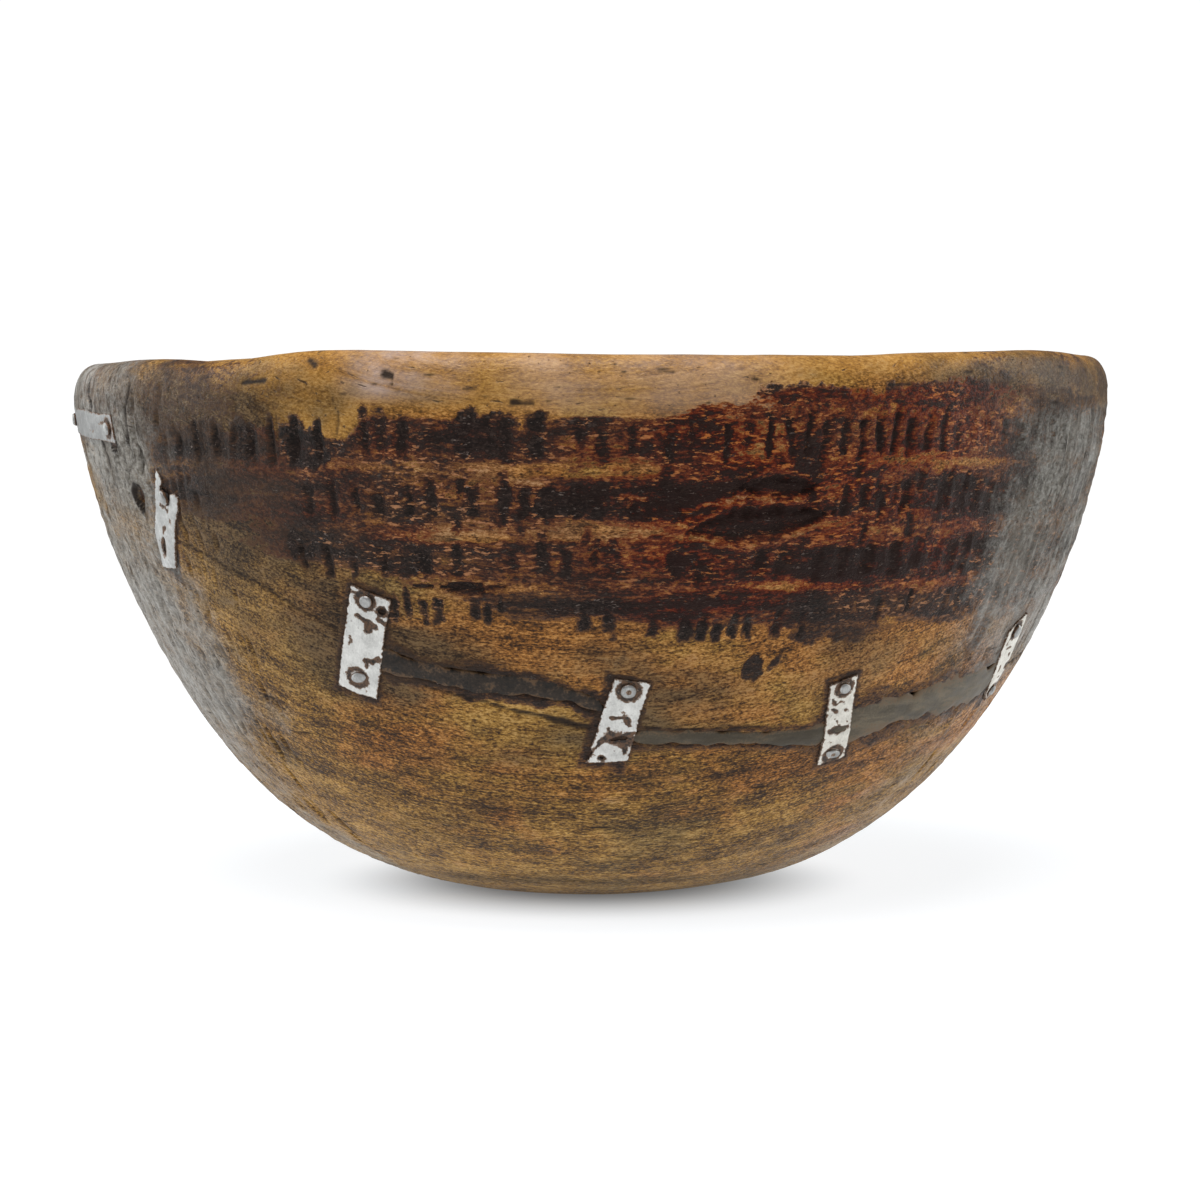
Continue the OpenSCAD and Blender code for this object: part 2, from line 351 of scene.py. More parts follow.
# Edges of the dark band: azimuth, height
BAND_TOP = [
    (-180, 199), (-120, 197), (-90, 192), (-56, 190), (-48, 190.5), (-35, 191), (-33, 186), (-25, 185),
    (-23, 196), (-14, 195.5), (4, 195), (10, 197), (15, 201), (20, 205), (28, 208), (38, 208), (51, 205),
    (60, 200), (90, 197), (180, 199),
]
BAND_FOOT = [
    (-180, 126), (-130, 130), (-90, 150), (-50, 152), (-40, 150), (-33, 144), (-27, 141), (-20, 136),
    (-12, 130), (-5, 125), (3, 122), (12, 120), (22, 119), (28, 116), (36, 119), (50, 119), (70, 118),
    (90, 120), (130, 122), (180, 126),
]
band_top, band_foot = (np.interp(AZ, *zip(*edge))[None, :] for edge in (BAND_TOP, BAND_FOOT))
ragged = 3.5 * rough(XYZ, (26, 26, 6), 21)
band = smooth(-2.5, 1.5, band_top + ragged - Z2) * smooth(-7, 6, Z2 - (band_foot + 1.4 * ragged))
row_share = np.zeros((RINGS, COLUMNS))
for middle, half in ROWS:
    press(row_share, np.exp(-np.abs((Z2 - middle - 0.3 * ragged) / (1.08 * half)) ** 5))
patchy = 0.26 * rough(XYZ, (34, 34, 11), 22)
streaky = 0.2 * rough(XYZ, (22, 22, 2.6), 23)
char_band = np.clip(0.45 + 0.2 * row_share + patchy + streaky, 0, 1) * band
char += char_band * ON_SIDE

LEFT_END = smooth(-42, -58, AZ2 + 7 * rough(XYZ, (30, 30, 40), 25)) * smooth(-140, -118, AZ2)
RIGHT_END = span(AZ2, 40, 66, 112, 140)
char *= 1 - 0.78 * LEFT_END
char *= 1 - 0.5 * RIGHT_END
char *= 1 - 0.22 * span(AZ2, -60, -48, -36, -30) * smooth(179, 172, Z2)
char += 0.12 * char_band * smooth(-2, 12, AZ2)
char *= 1 - 0.4 * span(AZ2, 10, 15, 46, 54) * smooth(174, 180, Z2)
char -= 0.17 * char_band * hump(AZ2, -3, 12) * span(Z2, 126, 131, 140, 144)
char -= 0.22 * char_band * hump(AZ2, -12, 7) * span(Z2, 132, 136, 145, 149)
char -= 0.4 * char_band * span(AZ2, 25, 28, 39, 44) * span(Z2, 123, 127, 132, 135)
char += 0.2 * char_band * span(AZ2, 9, 13, 23, 27) * span(Z2, 128, 132, 137, 140)
char -= 0.24 * char_band * span(AZ2, 36, 41, 52, 60) * span(Z2, 118, 122, 142, 146)

# How the edges of strokes and burns wander
WARP_X = 0.75 * rough(XYZ, (5, 5, 4), 26)
WARP_Y = 2.4 * rough(XYZ, (4.5, 4.5, 6), 27)
WEAR = rough(XYZ, (7, 7, 3.5), 28)


def gouge(az, z, half_w, half_h, depth, marking, tilt=0.0, shift=0.0):
    """One stroke of the gouge, shift mm along the profile from the height z."""
    at, x, y = window(az, float(along_at(z)) + shift, half_w * 2 + 2, half_h * 1.4 + 2)
    x = x + tilt * y + WARP_X[at]
    y = np.abs(y + WARP_Y[at]) / half_h
    ends = 1 - smooth(0.62, 1.1, y)
    relief[at] -= depth * np.clip(1 - (x / half_w) ** 2, 0, 1) * ends
    edge = hump(np.abs(x), half_w, 0.7) * ends
    relief[at] += 0.1 * depth * edge
    # Painted glints: a pale grey line painted along the stroke's edges at the right end, where light catches
    # the facet edges
    grey[at] += 0.45 * edge * RIGHT_END[at] * depth
    soft = np.exp(-np.abs(x / (1.05 * half_w)) ** 3) * (1 - smooth(0.6, 1.25, y)) * (0.86 + 0.25 * WEAR[at])
    press(char, marking * soft, at)
    press(dirt_and_shadow, 0.35 * soft * depth, at)


def gouge_rows():
    """The rows of strokes all round, close and even at the back and right, sparse at the left."""
    draw = np.random.default_rng(31)
    for number, (middle, half) in enumerate(ROWS):
        az = -180.0
        while az < 180:
            if az > 40 or az < -118:
                half_w = draw.uniform(3.2, 5.2)
                pitch = 2 * half_w * draw.uniform(0.96, 1.1)
                depth, marking, chance = draw.uniform(0.35, 0.7), draw.uniform(0.3, 0.8), 0.94
            elif az < -50:
                half_w = draw.uniform(1.6, 2.6)
                pitch = draw.uniform(8, 16)
                depth, marking, chance = draw.uniform(0.3, 0.7), draw.uniform(0.1, 0.3), 0.4
            else:
                striped = az > 12 and number == 0
                half_w = draw.uniform(1.5, 2.3) if striped or az < -24 else draw.uniform(1.6, 3.8)
                pitch = draw.uniform(6.6, 8.4) if striped else half_w * draw.uniform(2.2, 4.2)
                if az < -24:
                    pitch = draw.uniform(8, 12)
                depth, marking, chance = draw.uniform(0.5, 1.2), draw.uniform(0.85, 1.12), 0.92
            if number in (1, 2) and -50 < az < -33:
                chance, marking = (0.35 if number == 1 else 0.0), draw.uniform(0.2, 0.5)
            if number == 0 and -27 < az < -23:
                chance = 0.0
            low = 2.6 if number == 0 and -52 < az < -23 else 0.0
            if number == 3:
                chance *= 0.55 if az > 27 or az < -118 else 0.0
                half_w *= 0.7
            if draw.random() < chance:
                drift = draw.normal(0, 1.2 if number < 3 else 2.2)
                gouge(az, middle, half_w, half * draw.uniform(0.7, 1.12), depth, marking, draw.normal(0, 0.05),
                      drift - low)
            az += math.degrees(pitch / radius_at(along_at(middle)))


gouge_rows()
# The lowest row at the front: azimuth, height, half width, half height
ROW_FOUR = [
    (-22.0, 124.0, 1.6, 5.5), (-20.5, 125.5, 1.4, 6), (-18.5, 124, 1.4, 5), (-16.9, 124.3, 2.1, 6),
    (-12.6, 125.8, 1.9, 6), (-11.4, 122.5, 1.5, 4.5), (-9.8, 126, 1.5, 4), (-0.6, 122, 2.5, 5),
    (1.9, 120.5, 2.3, 5.5), (7, 120.4, 2.7, 5.5), (10.5, 118.8, 3.3, 6.5), (12.5, 119, 2.2, 6),
    (14.2, 117.2, 1.8, 4), (16.1, 118.5, 1.6, 6), (17.7, 118.8, 1.8, 5.5), (21.2, 118.4, 1.9, 6.5),
    (24.3, 119.3, 1.6, 5),
]
for number, stroke in enumerate(ROW_FOUR):
    gouge(*stroke, 0.6, 1.02, 0.06 * (-1) ** number)

# Loose strokes: how many, ranges of azimuth, height, half width, half height and stain, seed
for count, *ranges, seed in [
        (26, (-20, 46), (148, 178), (1.2, 2.4), (3, 6), (0.8, 1.0), 41),
        (8, (-44, -28), (182, 188), (2.2, 4.2), (5, 9), (0.6, 0.9), 42),
        (30, (48, 80), (105, 150), (2.5, 4.5), (6, 12), (0.2, 0.5), 44)]:
    draw = np.random.default_rng(seed)
    for _ in range(count):
        az, z, half_w, half_h = (draw.uniform(*reach) for reach in ranges[:4])
        gouge(az, z, half_w, half_h, draw.uniform(0.2, 0.7), draw.uniform(*ranges[4]), draw.normal(0, 0.12))


def black_patch(az, z, half_w, half_h, level, seed, depth=0.3, power=4.0):
    """A burnt patch with ragged edges."""
    at, x, y = near(az, z, half_w + 8, half_h + 8)
    wave = 0.32 * rough(XYZ[at], 5.0, seed) + 0.12 * noise(XYZ[at], 1.8, seed + 5)
    d = (np.abs(x / half_w) ** power + np.abs(y / half_h) ** power) ** (1 / power) + wave
    inside = 1 - smooth(0.82, 1.08, d)
    press(char, level * inside * (0.92 + 0.2 * WEAR[at]), at)
    relief[at] -= depth * inside


# Burnt squares and blots: azimuth, height, half width, half height, level, seed, depth, squareness
for patch in [
        (-31.8, 148, 7, 6, 1.0, 51), (-30.0, 184, 9, 8.0, 1.0, 52), (-37.5, 184.5, 6, 8.0, 0.9, 53),
        (-11.0, 188, 13, 8, 0.86, 54), (-2.5, 165, 12, 6, 0.95, 55), (-20.0, 144, 9, 7, 0.8, 56),
        (22.0, 178, 6, 10, 0.9, 57), (10.0, 141, 6, 5, 0.9, 58), (19.4, 101.5, 4.2, 6.4, 0.66, 59, 0.3, 2.2),
        (28.0, 118.5, 20, 7.5, 0.56, 60, 0.1), (23.0, 202.5, 24, 5.0, 0.58, 64, 0.05),
        (38.0, 202.5, 30, 5.5, 0.6, 65, 0.05), (14.0, 123.5, 22, 6.0, 0.46, 63, 0.1),
        (46.5, 207, 6, 4, 0.4, 61, 0.2, 2.0), (-24.0, 124.0, 6, 4.5, 0.75, 62)]:
    black_patch(*patch)
gouge(22.0, 104.5, 1.3, 4.0, 0.1, 0.62, -0.55)


def eye_scar(az, z, half_w, half_h, tilt, seed):
    """A long healed scar: a sunk, burnt lens with a lifted edge, and a highlight painted along that edge."""
    at, x, y = near(az, z, half_w + 10, half_h + 8)
    y = y - tilt * x + 0.6 * noise(XYZ[at], 9.0, seed)
    lens = np.clip(1 - (x / half_w) ** 2, 0, 1)
    d = np.abs(y) / (half_h * lens + 0.05)
    inside = 1 - smooth(0.7, 1.1, d)
    rim = hump(d, 1.25, 0.3) * smooth(0, 0.25, lens)
    relief[at] += 0.75 * rim - 1.5 * inside * (0.45 + 0.55 * smooth(0, 0.6, d))
    press(char, 0.88 * inside, at)
    # Painted highlight: the lifted edge is painted lighter and golden
    char[at] *= 1 - 0.45 * rim
    press(gold, 0.55 * rim, at)


eye_scar(19.4, 169.6, 15.5, 5.2, -0.03, 71)
eye_scar(17.6, 157.0, 27, 7.5, 0.1, 72)
eye_scar(-13.5, 133.5, 10, 2.6, 0.0, 73)

# Cracks: width, depth, dirt, sway, seed, then (azimuth, height, share of the width) points
CRACKS = [
    # Hairlines of the old crack on both sides of the pitch
    (1.5, 0.55, 0.75, 0.9, 81, [(-47.7, 141.7), (-41, 134), (-36, 126), (-30, 115.6)]),
    (1.4, 0.5, 0.7, 0.9, 82, [(-56, 150), (-51.5, 146), (-47.7, 141.7)]),
    (1.5, 0.6, 0.85, 0.8, 83, [(-20, 95.5, 0.8), (-14.8, 91.2, 1), (-9, 86.7, 1.3), (-6.2, 84.4, 1.6),
                               (-2.6, 81.6, 2.6), (-0.1, 79.8, 2)]),
    (1.1, 0.35, 0.8, 0.5, 84, [(7, 79.5), (12, 78.8), (18, 79.5), (25, 78)]),
    (1.6, 0.7, 0.8, 0.9, 85, [(67, 92), (72, 95), (77, 97), (84, 102)]),
    # Short marks on the lip
    (2.0, 0.4, 0.95, 0.3, 301, [(-37.5, 208.8), (-34.5, 208.2)]),
    (2.6, 0.5, 1.0, 0.2, 302, [(-20.6, 209.6), (-19.9, 209.0)]),
    (1.8, 0.3, 0.95, 0.3, 303, [(-7.6, 200.3), (-5.6, 200.5)]),
    (2.2, 0.4, 0.9, 0.3, 304, [(-29.4, 214.5), (-28.6, 212.5)]),
    (1.5, 0.3, 0.85, 0.3, 305, [(6.5, 212.8), (8.2, 212.2)]),
    (1.3, 0.2, 0.7, 0.3, 306, [(-12.5, 204.6), (-11.2, 204.9)]),
    (1.4, 0.3, 0.85, 0.4, 307, [(31.0, 207.0), (33.6, 207.6)]),
    (1.4, 0.3, 0.8, 0.3, 308, [(16.0, 210.0), (16.8, 208.8)]),
    # Checks that run down from the rim
    (2.6, 1.6, 1.0, 0.6, 86, [(-69.6, 211.7), (-69.2, 206), (-68.1, 199.3)]),
    (2.0, 1.0, 0.85, 0.8, 87, [(-56.6, 209), (-57.2, 202), (-57.7, 196), (-57.9, 182.5)]),
    (2.2, 1.0, 0.85, 0.7, 88, [(-65.7, 184.6), (-65.0, 179), (-64.7, 174)]),
    (1.2, 0.3, 0.5, 0.6, 89, [(-33.6, 200), (-33.2, 192), (-33.4, 184)]),
    (1.4, 0.35, 0.6, 0.8, 90, [(-26.5, 201), (-25.8, 193), (-26.2, 186)]),
    (1.8, 1.0, 0.85, 0.9, 91, [(-110, 214), (-111, 202), (-110, 188), (-112, 170)]),
    (1.6, 0.9, 0.8, 0.8, 92, [(96, 214), (95, 203), (96.5, 190)]),
    (1.3, 0.6, 0.75, 0.9, 93, [(168, 213), (169, 200), (167, 181), (168, 160)]),
]
for width, depth, level, sway, seed, points in CRACKS:
    d = near_line(wandering(points, width, 2.5, sway, seed), 5.0)
    relief -= depth * np.clip(1 - d ** 2, 0, 1)
    press(dirt_and_shadow, level * hump(d, 0, 1.25))

# Scratches through the dark skin into lighter wood: width, seed, (azimuth, height) points
for width, seed, points in [
        (1.3, 101, [(-24, 168.5), (-19.7, 165.5), (-15, 160)]),
        (1.6, 102, [(9.5, 160.5), (12, 163.5), (16, 166.5)]),
        (2.2, 103, [(-8, 172), (-5, 171.5)]),
        (1.8, 104, [(3, 167), (5.5, 166)])]:
    inside = hump(near_line(wandering(points, width, 3, 0.5, seed), 4), 0, 0.9)
    relief -= 0.25 * inside
    char *= 1 - 0.8 * inside
    press(gold, 0.9 * inside)

# Pits of open grain: how many, ranges of azimuth, height, half width, half height and depth, seed, dirt
for count, az_range, z_range, width, height, depth, seed, level in [
        (420, (-125, -50), (25, 206), (0.7, 1.7), (2.5, 8), (0.4, 1.4), 111, 0.6),
        (90, (-62, -44), (60, 190), (0.7, 1.3), (2, 5), (0.3, 0.8), 112, 0.6),
        (170, (58, 128), (30, 206), (0.7, 1.5), (2.5, 7), (0.3, 1.0), 113, 0.6),
        (120, (-44, 58), (20, 212), (0.7, 1.1), (0.7, 1.2), (0.15, 0.4), 114, 0.75),
        (140, (128, 235), (20, 212), (0.7, 1.1), (0.7, 1.2), (0.15, 0.4), 115, 0.75),
        (70, (-52, 62), (8, 104), (2.0, 6.5), (0.45, 0.8), (0.1, 0.3), 116, 0.95),
        (46, (-52, 62), (198, 215), (1.2, 3.6), (0.4, 0.7), (0.1, 0.25), 117, 0.85)]:
    draw = np.random.default_rng(seed)
    for _ in range(count):
        az, z, half_w, half_h = (draw.uniform(*reach) for reach in (az_range, z_range, width, height))
        at, x, y = near(az, z, half_w * 2 + 2, half_h * 1.5 + 2)
        x = x + draw.normal(0, 0.12) * y
        inside = np.exp(-((x / half_w) ** 2 + (y / half_h) ** 2) ** 1.4)
        relief[at] -= draw.uniform(*depth) * inside
        press(dirt_and_shadow, level * draw.uniform(0.5, 1.0) * inside, at)

# Grey of the end grain
ends_grey = 0.92 * LEFT_END * (0.85 + 0.25 * noise(XYZ, 30, 121)) * (1 - 0.45 * smooth(95, 45, Z2))
grey += ends_grey * ON_SIDE
ends_grey = 0.84 * span(AZ2, 41, 58, 112, 140) * (0.85 + 0.3 * noise(XYZ, 25, 122)) * smooth(205, 190, Z2)
grey += ends_grey * ON_SIDE
grey *= 1 - 0.65 * span(AZ2, -60, -52, -6, 2) * smooth(195, 203, Z2)
grey *= 1 - 0.62 * smooth(0, 6, AZ2) * smooth(118, 88, Z2 + 9 * rough(XYZ, 40, 123))
grey *= 1 - 0.5 * row_share * band * smooth(66, 80, np.abs(AZ2))

# Old nails' places, wider above than below: azimuth, height, half width, half height
for az, z, half_w, half_h in ((-58.4, 162.3, 4.2, 5.6), (-62.0, 182.6, 3.6, 2.8)):
    at, x, y = near(az, z, half_w + 5, half_h + 5)
    d = np.hypot(x / (half_w * (1 + 0.45 * np.clip(y / half_h, -1, 1))), y / half_h)
    relief[at] += 0.45 * hump(d, 1.2, 0.25) - 2.0 * (1 - smooth(0.55, 1.0, d))
    press(dirt_and_shadow, 1.1 * hump(d, 0.95, 0.28), at)
    inner = 1 - smooth(0.5, 0.9, d)
    grey[at] *= 1 - inner
    press(char, 0.4 * inner, at)

FLUTE_R = 200
# Fluted strokes of the adze, round the right end and the back: lowest and highest z, pitch, height, seed
flute_share = np.clip(RIGHT_END + smooth(112, 140, np.abs(AZ2)) * 0.8, 0, 1)
for low_z, high_z, pitch, height, seed in ((128, 200, 9.5, 0.75, 131), (60, 120, 16, 0.4, 132)):
    wave = np.radians(AZ2) * FLUTE_R + 5 * noise(XYZ, 30, seed)
    scallop = np.abs((wave / pitch) % 1 * 2 - 1) ** 2
    strength = span(Z2, low_z - 8, low_z + 6, high_z - 6, high_z + 5)
    flute += height * scallop * strength * flute_share
    # Painted shadow: dark lines painted along the ridges between the flutes
    lines = smooth(0.55, 1.0, scallop) * (0.75 + 0.5 * rough(XYZ, (9, 9, 18), seed + 2))
    press(dirt_and_shadow, 0.8 * height * lines * strength * RIGHT_END * ON_SIDE)
relief += flute * ON_SIDE - 0.2 * (flute > 0)

# Red and gold of the skin between the marks
red += band * span(AZ2, -6, 14, 40, 56) * (0.75 + 0.35 * noise(XYZ, (30, 30, 9), 141))
red += 0.45 * band * span(AZ2, -48, -30, 4, 16) * (0.6 + 0.6 * noise(XYZ, (24, 24, 8), 142))
red = np.clip(red, 0, 1) * (1 - 0.85 * smooth(19, 26, AZ2) * smooth(133, 126, Z2)) * OUT2
gap = band * (1 - row_share)
gold += 0.75 * gap * span(AZ2, -36, -22, 2, 16) * (0.5 + 0.7 * noise(XYZ, (20, 20, 5), 143))
gold = np.clip(gold, 0, 1)
bared = 0.33 - 0.2 * smooth(6, 16, AZ2) + 0.16 * hump(AZ2, -10, 5)
bared = bared - 0.09 * smooth(24, 29, AZ2) * smooth(164, 160, Z2)
bared = bared - smooth(171, 175, Z2) * (0.12 + 0.14 * smooth(-14, -20, AZ2))
char -= bared * gap * span(AZ2, -58, -46, 44, 62) * (0.7 + 0.6 * rough(XYZ, (30, 30, 6), 144))

# Old grime and handling, and painted shade low round the foot: azimuth, height, reach each way, level, which
# is below 0 where it is cleaner
SHADES = [
    (-40, 155, 40, 20, 0.9), (-38, 172, 26, 10, 0.6), (-36, 112, 50, 28, 0.36), (-17, 109, 28, 13, 0.6),
    (-48, 198, 32, 16, 0.85), (-37, 206, 30, 14, 0.42), (-27, 199, 16, 7, 0.42), (-18, 201, 22, 7, 0.25),
    (-5, 74, 34, 12, 0.38), (-30, 112, 18, 18, 0.35), (-22, 92, 20, 9, 0.3), (12, 78, 40, 9, 0.36),
    (13, 96, 26, 14, 0.5), (33, 108, 30, 10, 0.26), (60, 203, 40, 16, 0.6), (78, 206, 44, 22, 0.62),
    (44, 206, 22, 9, 0.55), (30, 209, 34, 8, 0.36), (-27, 209, 14, 7, 0.32), (-39, 189, 24, 11, 0.8),
    # The wide band at height 12 is painted shade: darker towards the bottom of the bowl
    (-57, 208, 30, 12, 0.45), (57, 212, 40, 9, 0.3), (-46, 130, 30, 30, 0.25), (-10, 12, 120, 7, 0.42),
    (4, 86, 15, 22, 0.5), (33, 84, 11, 22, 0.35), (-25, 111, 18, 24, 0.5), (-85, 205, 60, 25, 0.5),
    (-38, 176, 22, 7, 0.45), (0, 62, 20, 20, -0.16), (24, 66, 16, 10, -0.22), (-30, 38, 26, 16, 0.22),
    (8, 25, 40, 7, 0.16),
]
shade = 0.08 + 0.17 * rough(XYZ, (46, 46, 13), 201) + 0.12 * rough(XYZ, (16, 16, 4), 202)
for az, z, reach_x, reach_y, level in SHADES:
    at, x, y = near(az, z, 2.4 * reach_x, 2.4 * reach_y)
    wave = 1 + 0.35 * rough(XYZ[at], 12.0, 203)
    shade[at] += level * np.exp(-((x / reach_x) ** 2 + (y / reach_y) ** 2) * wave)
shade = np.clip(shade, 0, 1) * OUT2

# Rust-coloured and olive patches of the wood
rusty = 0.5 + 0.55 * rough(XYZ, (34, 34, 14), 205) + 0.25 * smooth(90, 120, Z2) - 0.25 * smooth(70, 45, Z2)
rusty = np.clip(rusty * (1 - 0.6 * smooth(-26, -40, AZ2)) + 0.7 * red, 0, 1)

# Lip: rubbed smooth, and stained by azimuth
lip_share = smooth(-3, 6, Z2 - band_top) * OUT2
press(polish, 0.9 * lip_share * (1 - LEFT_END))
LIP_STAIN = [
    (-180, 0.16), (-110, 0.24), (-70, 0.22), (-52, 0.26), (-40, 0.18), (-28, 0.03), (28, 0.02),
    (40, 0.08), (52, 0.2), (66, 0.24), (90, 0.2), (180, 0.16),
]
press(char, np.interp(AZ, *zip(*LIP_STAIN))[None, :] * (1 + 0.6 * rough(XYZ, 24, 145)) * lip_share)
char = np.clip(char, 0, 1.05)

# Hollow: darker, oily and knife-scraped
HOLLOW = 1 - OUT2
SCRAPE_PITCH = 17
scrape = np.abs(((S[:, None] + 4 * noise(XYZ, 40, 151)) / SCRAPE_PITCH) % 1 * 2 - 1)
relief += HOLLOW * (0.35 * scrape ** 2 - 0.1) * smooth(BOWL_H - 6, BOWL_H - 25, Z2)
char += HOLLOW * smooth(BOWL_H - 3, BOWL_H - 22, Z2) * (0.16 + 0.12 * rough(XYZ, 46, 152))
char += HOLLOW * 0.16 * smooth(70, 20, Z2)
press(polish, 0.75 * HOLLOW)

# Fillings lie in grooves of the wood
GROOVE_DEPTH = 2.2
for course, width, stained in ((PITCH_COURSE, PITCH_W, 0.62), (MASTIC_COURSE, MASTIC_W, 0.4)):
    d = near_line(finer(line_points(course, width), 3.0), width) + 0.12 * rough(XYZ, 7.0, 161)
    relief -= GROOVE_DEPTH * (1 - smooth(0.5, 0.88, d))
    press(dirt_and_shadow, 0.3 * hump(d, 0.95, 0.35))
    press(char, stained * (1 - smooth(0.85, 2.1, d + 0.35 * rough(XYZ, 9.0, 162))))

# Strips lie in shallow beds, with grime around them and a dent under each rivet
BED_DEPTH = 0.25
for name, (az, z, lean, length, width, rivets) in REPAIRS.items():
    t = math.radians(lean)
    for hollow, grime, dent in ((False, 0.85, 0.8), (True, 0.5, 0.2)):
        at, x, y = window(az, on_strip(name, 0.0, 0.0, hollow)[1], length / 2 + 8, length / 2 + 8)
        y = -y if hollow else y
        u = x * math.cos(t) - y * math.sin(t)
        v = x * math.sin(t) + y * math.cos(t)
        d = np.maximum(np.abs(u) - width / 2, np.abs(v) - length / 2)
        relief[at] += (low_relief[at] - BED_DEPTH - relief[at]) * (1 - smooth(0.3, 2.2, d))
        around = grime * hump(np.clip(d, 0, None), 0, 2.2)
        press(char, around * (0.62 + 0.25 * rough(XYZ[at], 6.0, 171)), at)
        for up in rivets.values():
            relief[at] -= dent * np.exp(-(np.hypot(u, v - up) / 4.0) ** 4)

# Fibre and tool roughness, finest in the smooth parts
bumpy = rough(XYZ, (14, 14, 1.9), 181, 2) + 0.6 * rough(XYZ, (4.5, 4.5, 3.5), 182, 2)
relief += (0.05 + 0.12 * band * ON_SIDE * (1 - lip_share)) * bumpy
below_lip = ON_SIDE * smooth(BOWL_H + 2, BOWL_H - 12, Z2)
relief += (0.3 * LEFT_END + 0.14 * RIGHT_END) * rough(XYZ, (3.2, 3.2, 8.0), 183, 3) * below_lip
relief += 0.275 * band * (1 - 0.6 * LEFT_END) * ON_SIDE * rough(XYZ, (16, 16, 7), 184, 3)

# ---------------- mesh helpers


def place(az, along, height):
    """Points at azimuths and distances along the profile, height mm out of the true surface."""
    az, along, height = np.broadcast_arrays(az, along, height)
    r, z = np.moveaxis(profile_point(along) + height[..., None] * profile_normal(along), -1, 0)
    t = np.radians(az)
    return np.stack([r * np.sin(t), -r * np.cos(t), z], -1)


def ground_at(az, along):
    """Height of the smoothed wood at places on it, between the grid's points."""
    row = np.clip(np.interp(along, S, np.arange(RINGS)), 0, RINGS - 1.001)
    wide = np.concatenate([AZ, [AZ[0] + 360]])
    col = np.interp((np.asarray(az) + 180) % 360 - 180, wide, np.arange(COLUMNS + 1))
    r0, c0 = row.astype(int), np.clip(col.astype(int), 0, COLUMNS - 1)
    fr, fc = row - r0, col - c0
    c1 = (c0 + 1) % COLUMNS
    top = low_relief[r0, c0] * (1 - fc) + low_relief[r0, c1] * fc
    bottom = low_relief[r0 + 1, c0] * (1 - fc) + low_relief[r0 + 1, c1] * fc
    return top * (1 - fr) + bottom * fr


def add_object(name, data):
    obj = bpy.data.objects.new(name, data)
    bpy.context.collection.objects.link(obj)
    return obj


def make_mesh(name, points, faces):
    """A mesh object from points in mm. Its faces are turned to look outward."""
    points = np.asarray(points, float) * MM
    a, b, c = points[np.array([(f[0], f[k], f[k + 1]) for f in faces for k in range(1, len(f) - 1)]).T]
    if np.einsum("ij,ij->", a, np.cross(b, c)) < 0:
        faces = [tuple(f)[::-1] for f in faces]
    mesh = bpy.data.meshes.new(name)
    mesh.from_pydata(points.tolist(), [], faces)
    mesh.validate()
    mesh.shade_smooth()
    return add_object(name, mesh)


def paint(obj, name, *shares):
    """A per-point colour with four shares in it."""
    layer = obj.data.attributes.new(name, "FLOAT_COLOR", "POINT")
    layer.data.foreach_set("color", np.stack(shares, 1).astype(np.float32).ravel())


def finish_piece(obj, material, node):
    obj.data.materials.append(material)
    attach(obj, "root")
    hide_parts(node)


# ---------------- node helpers


class Value:
    """A number that a node gives out. Sums and products of values are nodes too."""

    def __init__(self, shader, socket):
        self.shader = shader
        self.socket = socket

    def __add__(self, other):
        return self.shader.math("ADD", self, other)

    def __sub__(self, number):
        return self.shader.math("ADD", self, -number)

    def __mul__(self, other):
        return self.shader.math("MULTIPLY", self, other)

    def swing(self, size):
        """A noise about 0.5 as a change about 0."""
        return (self - 0.5) * size


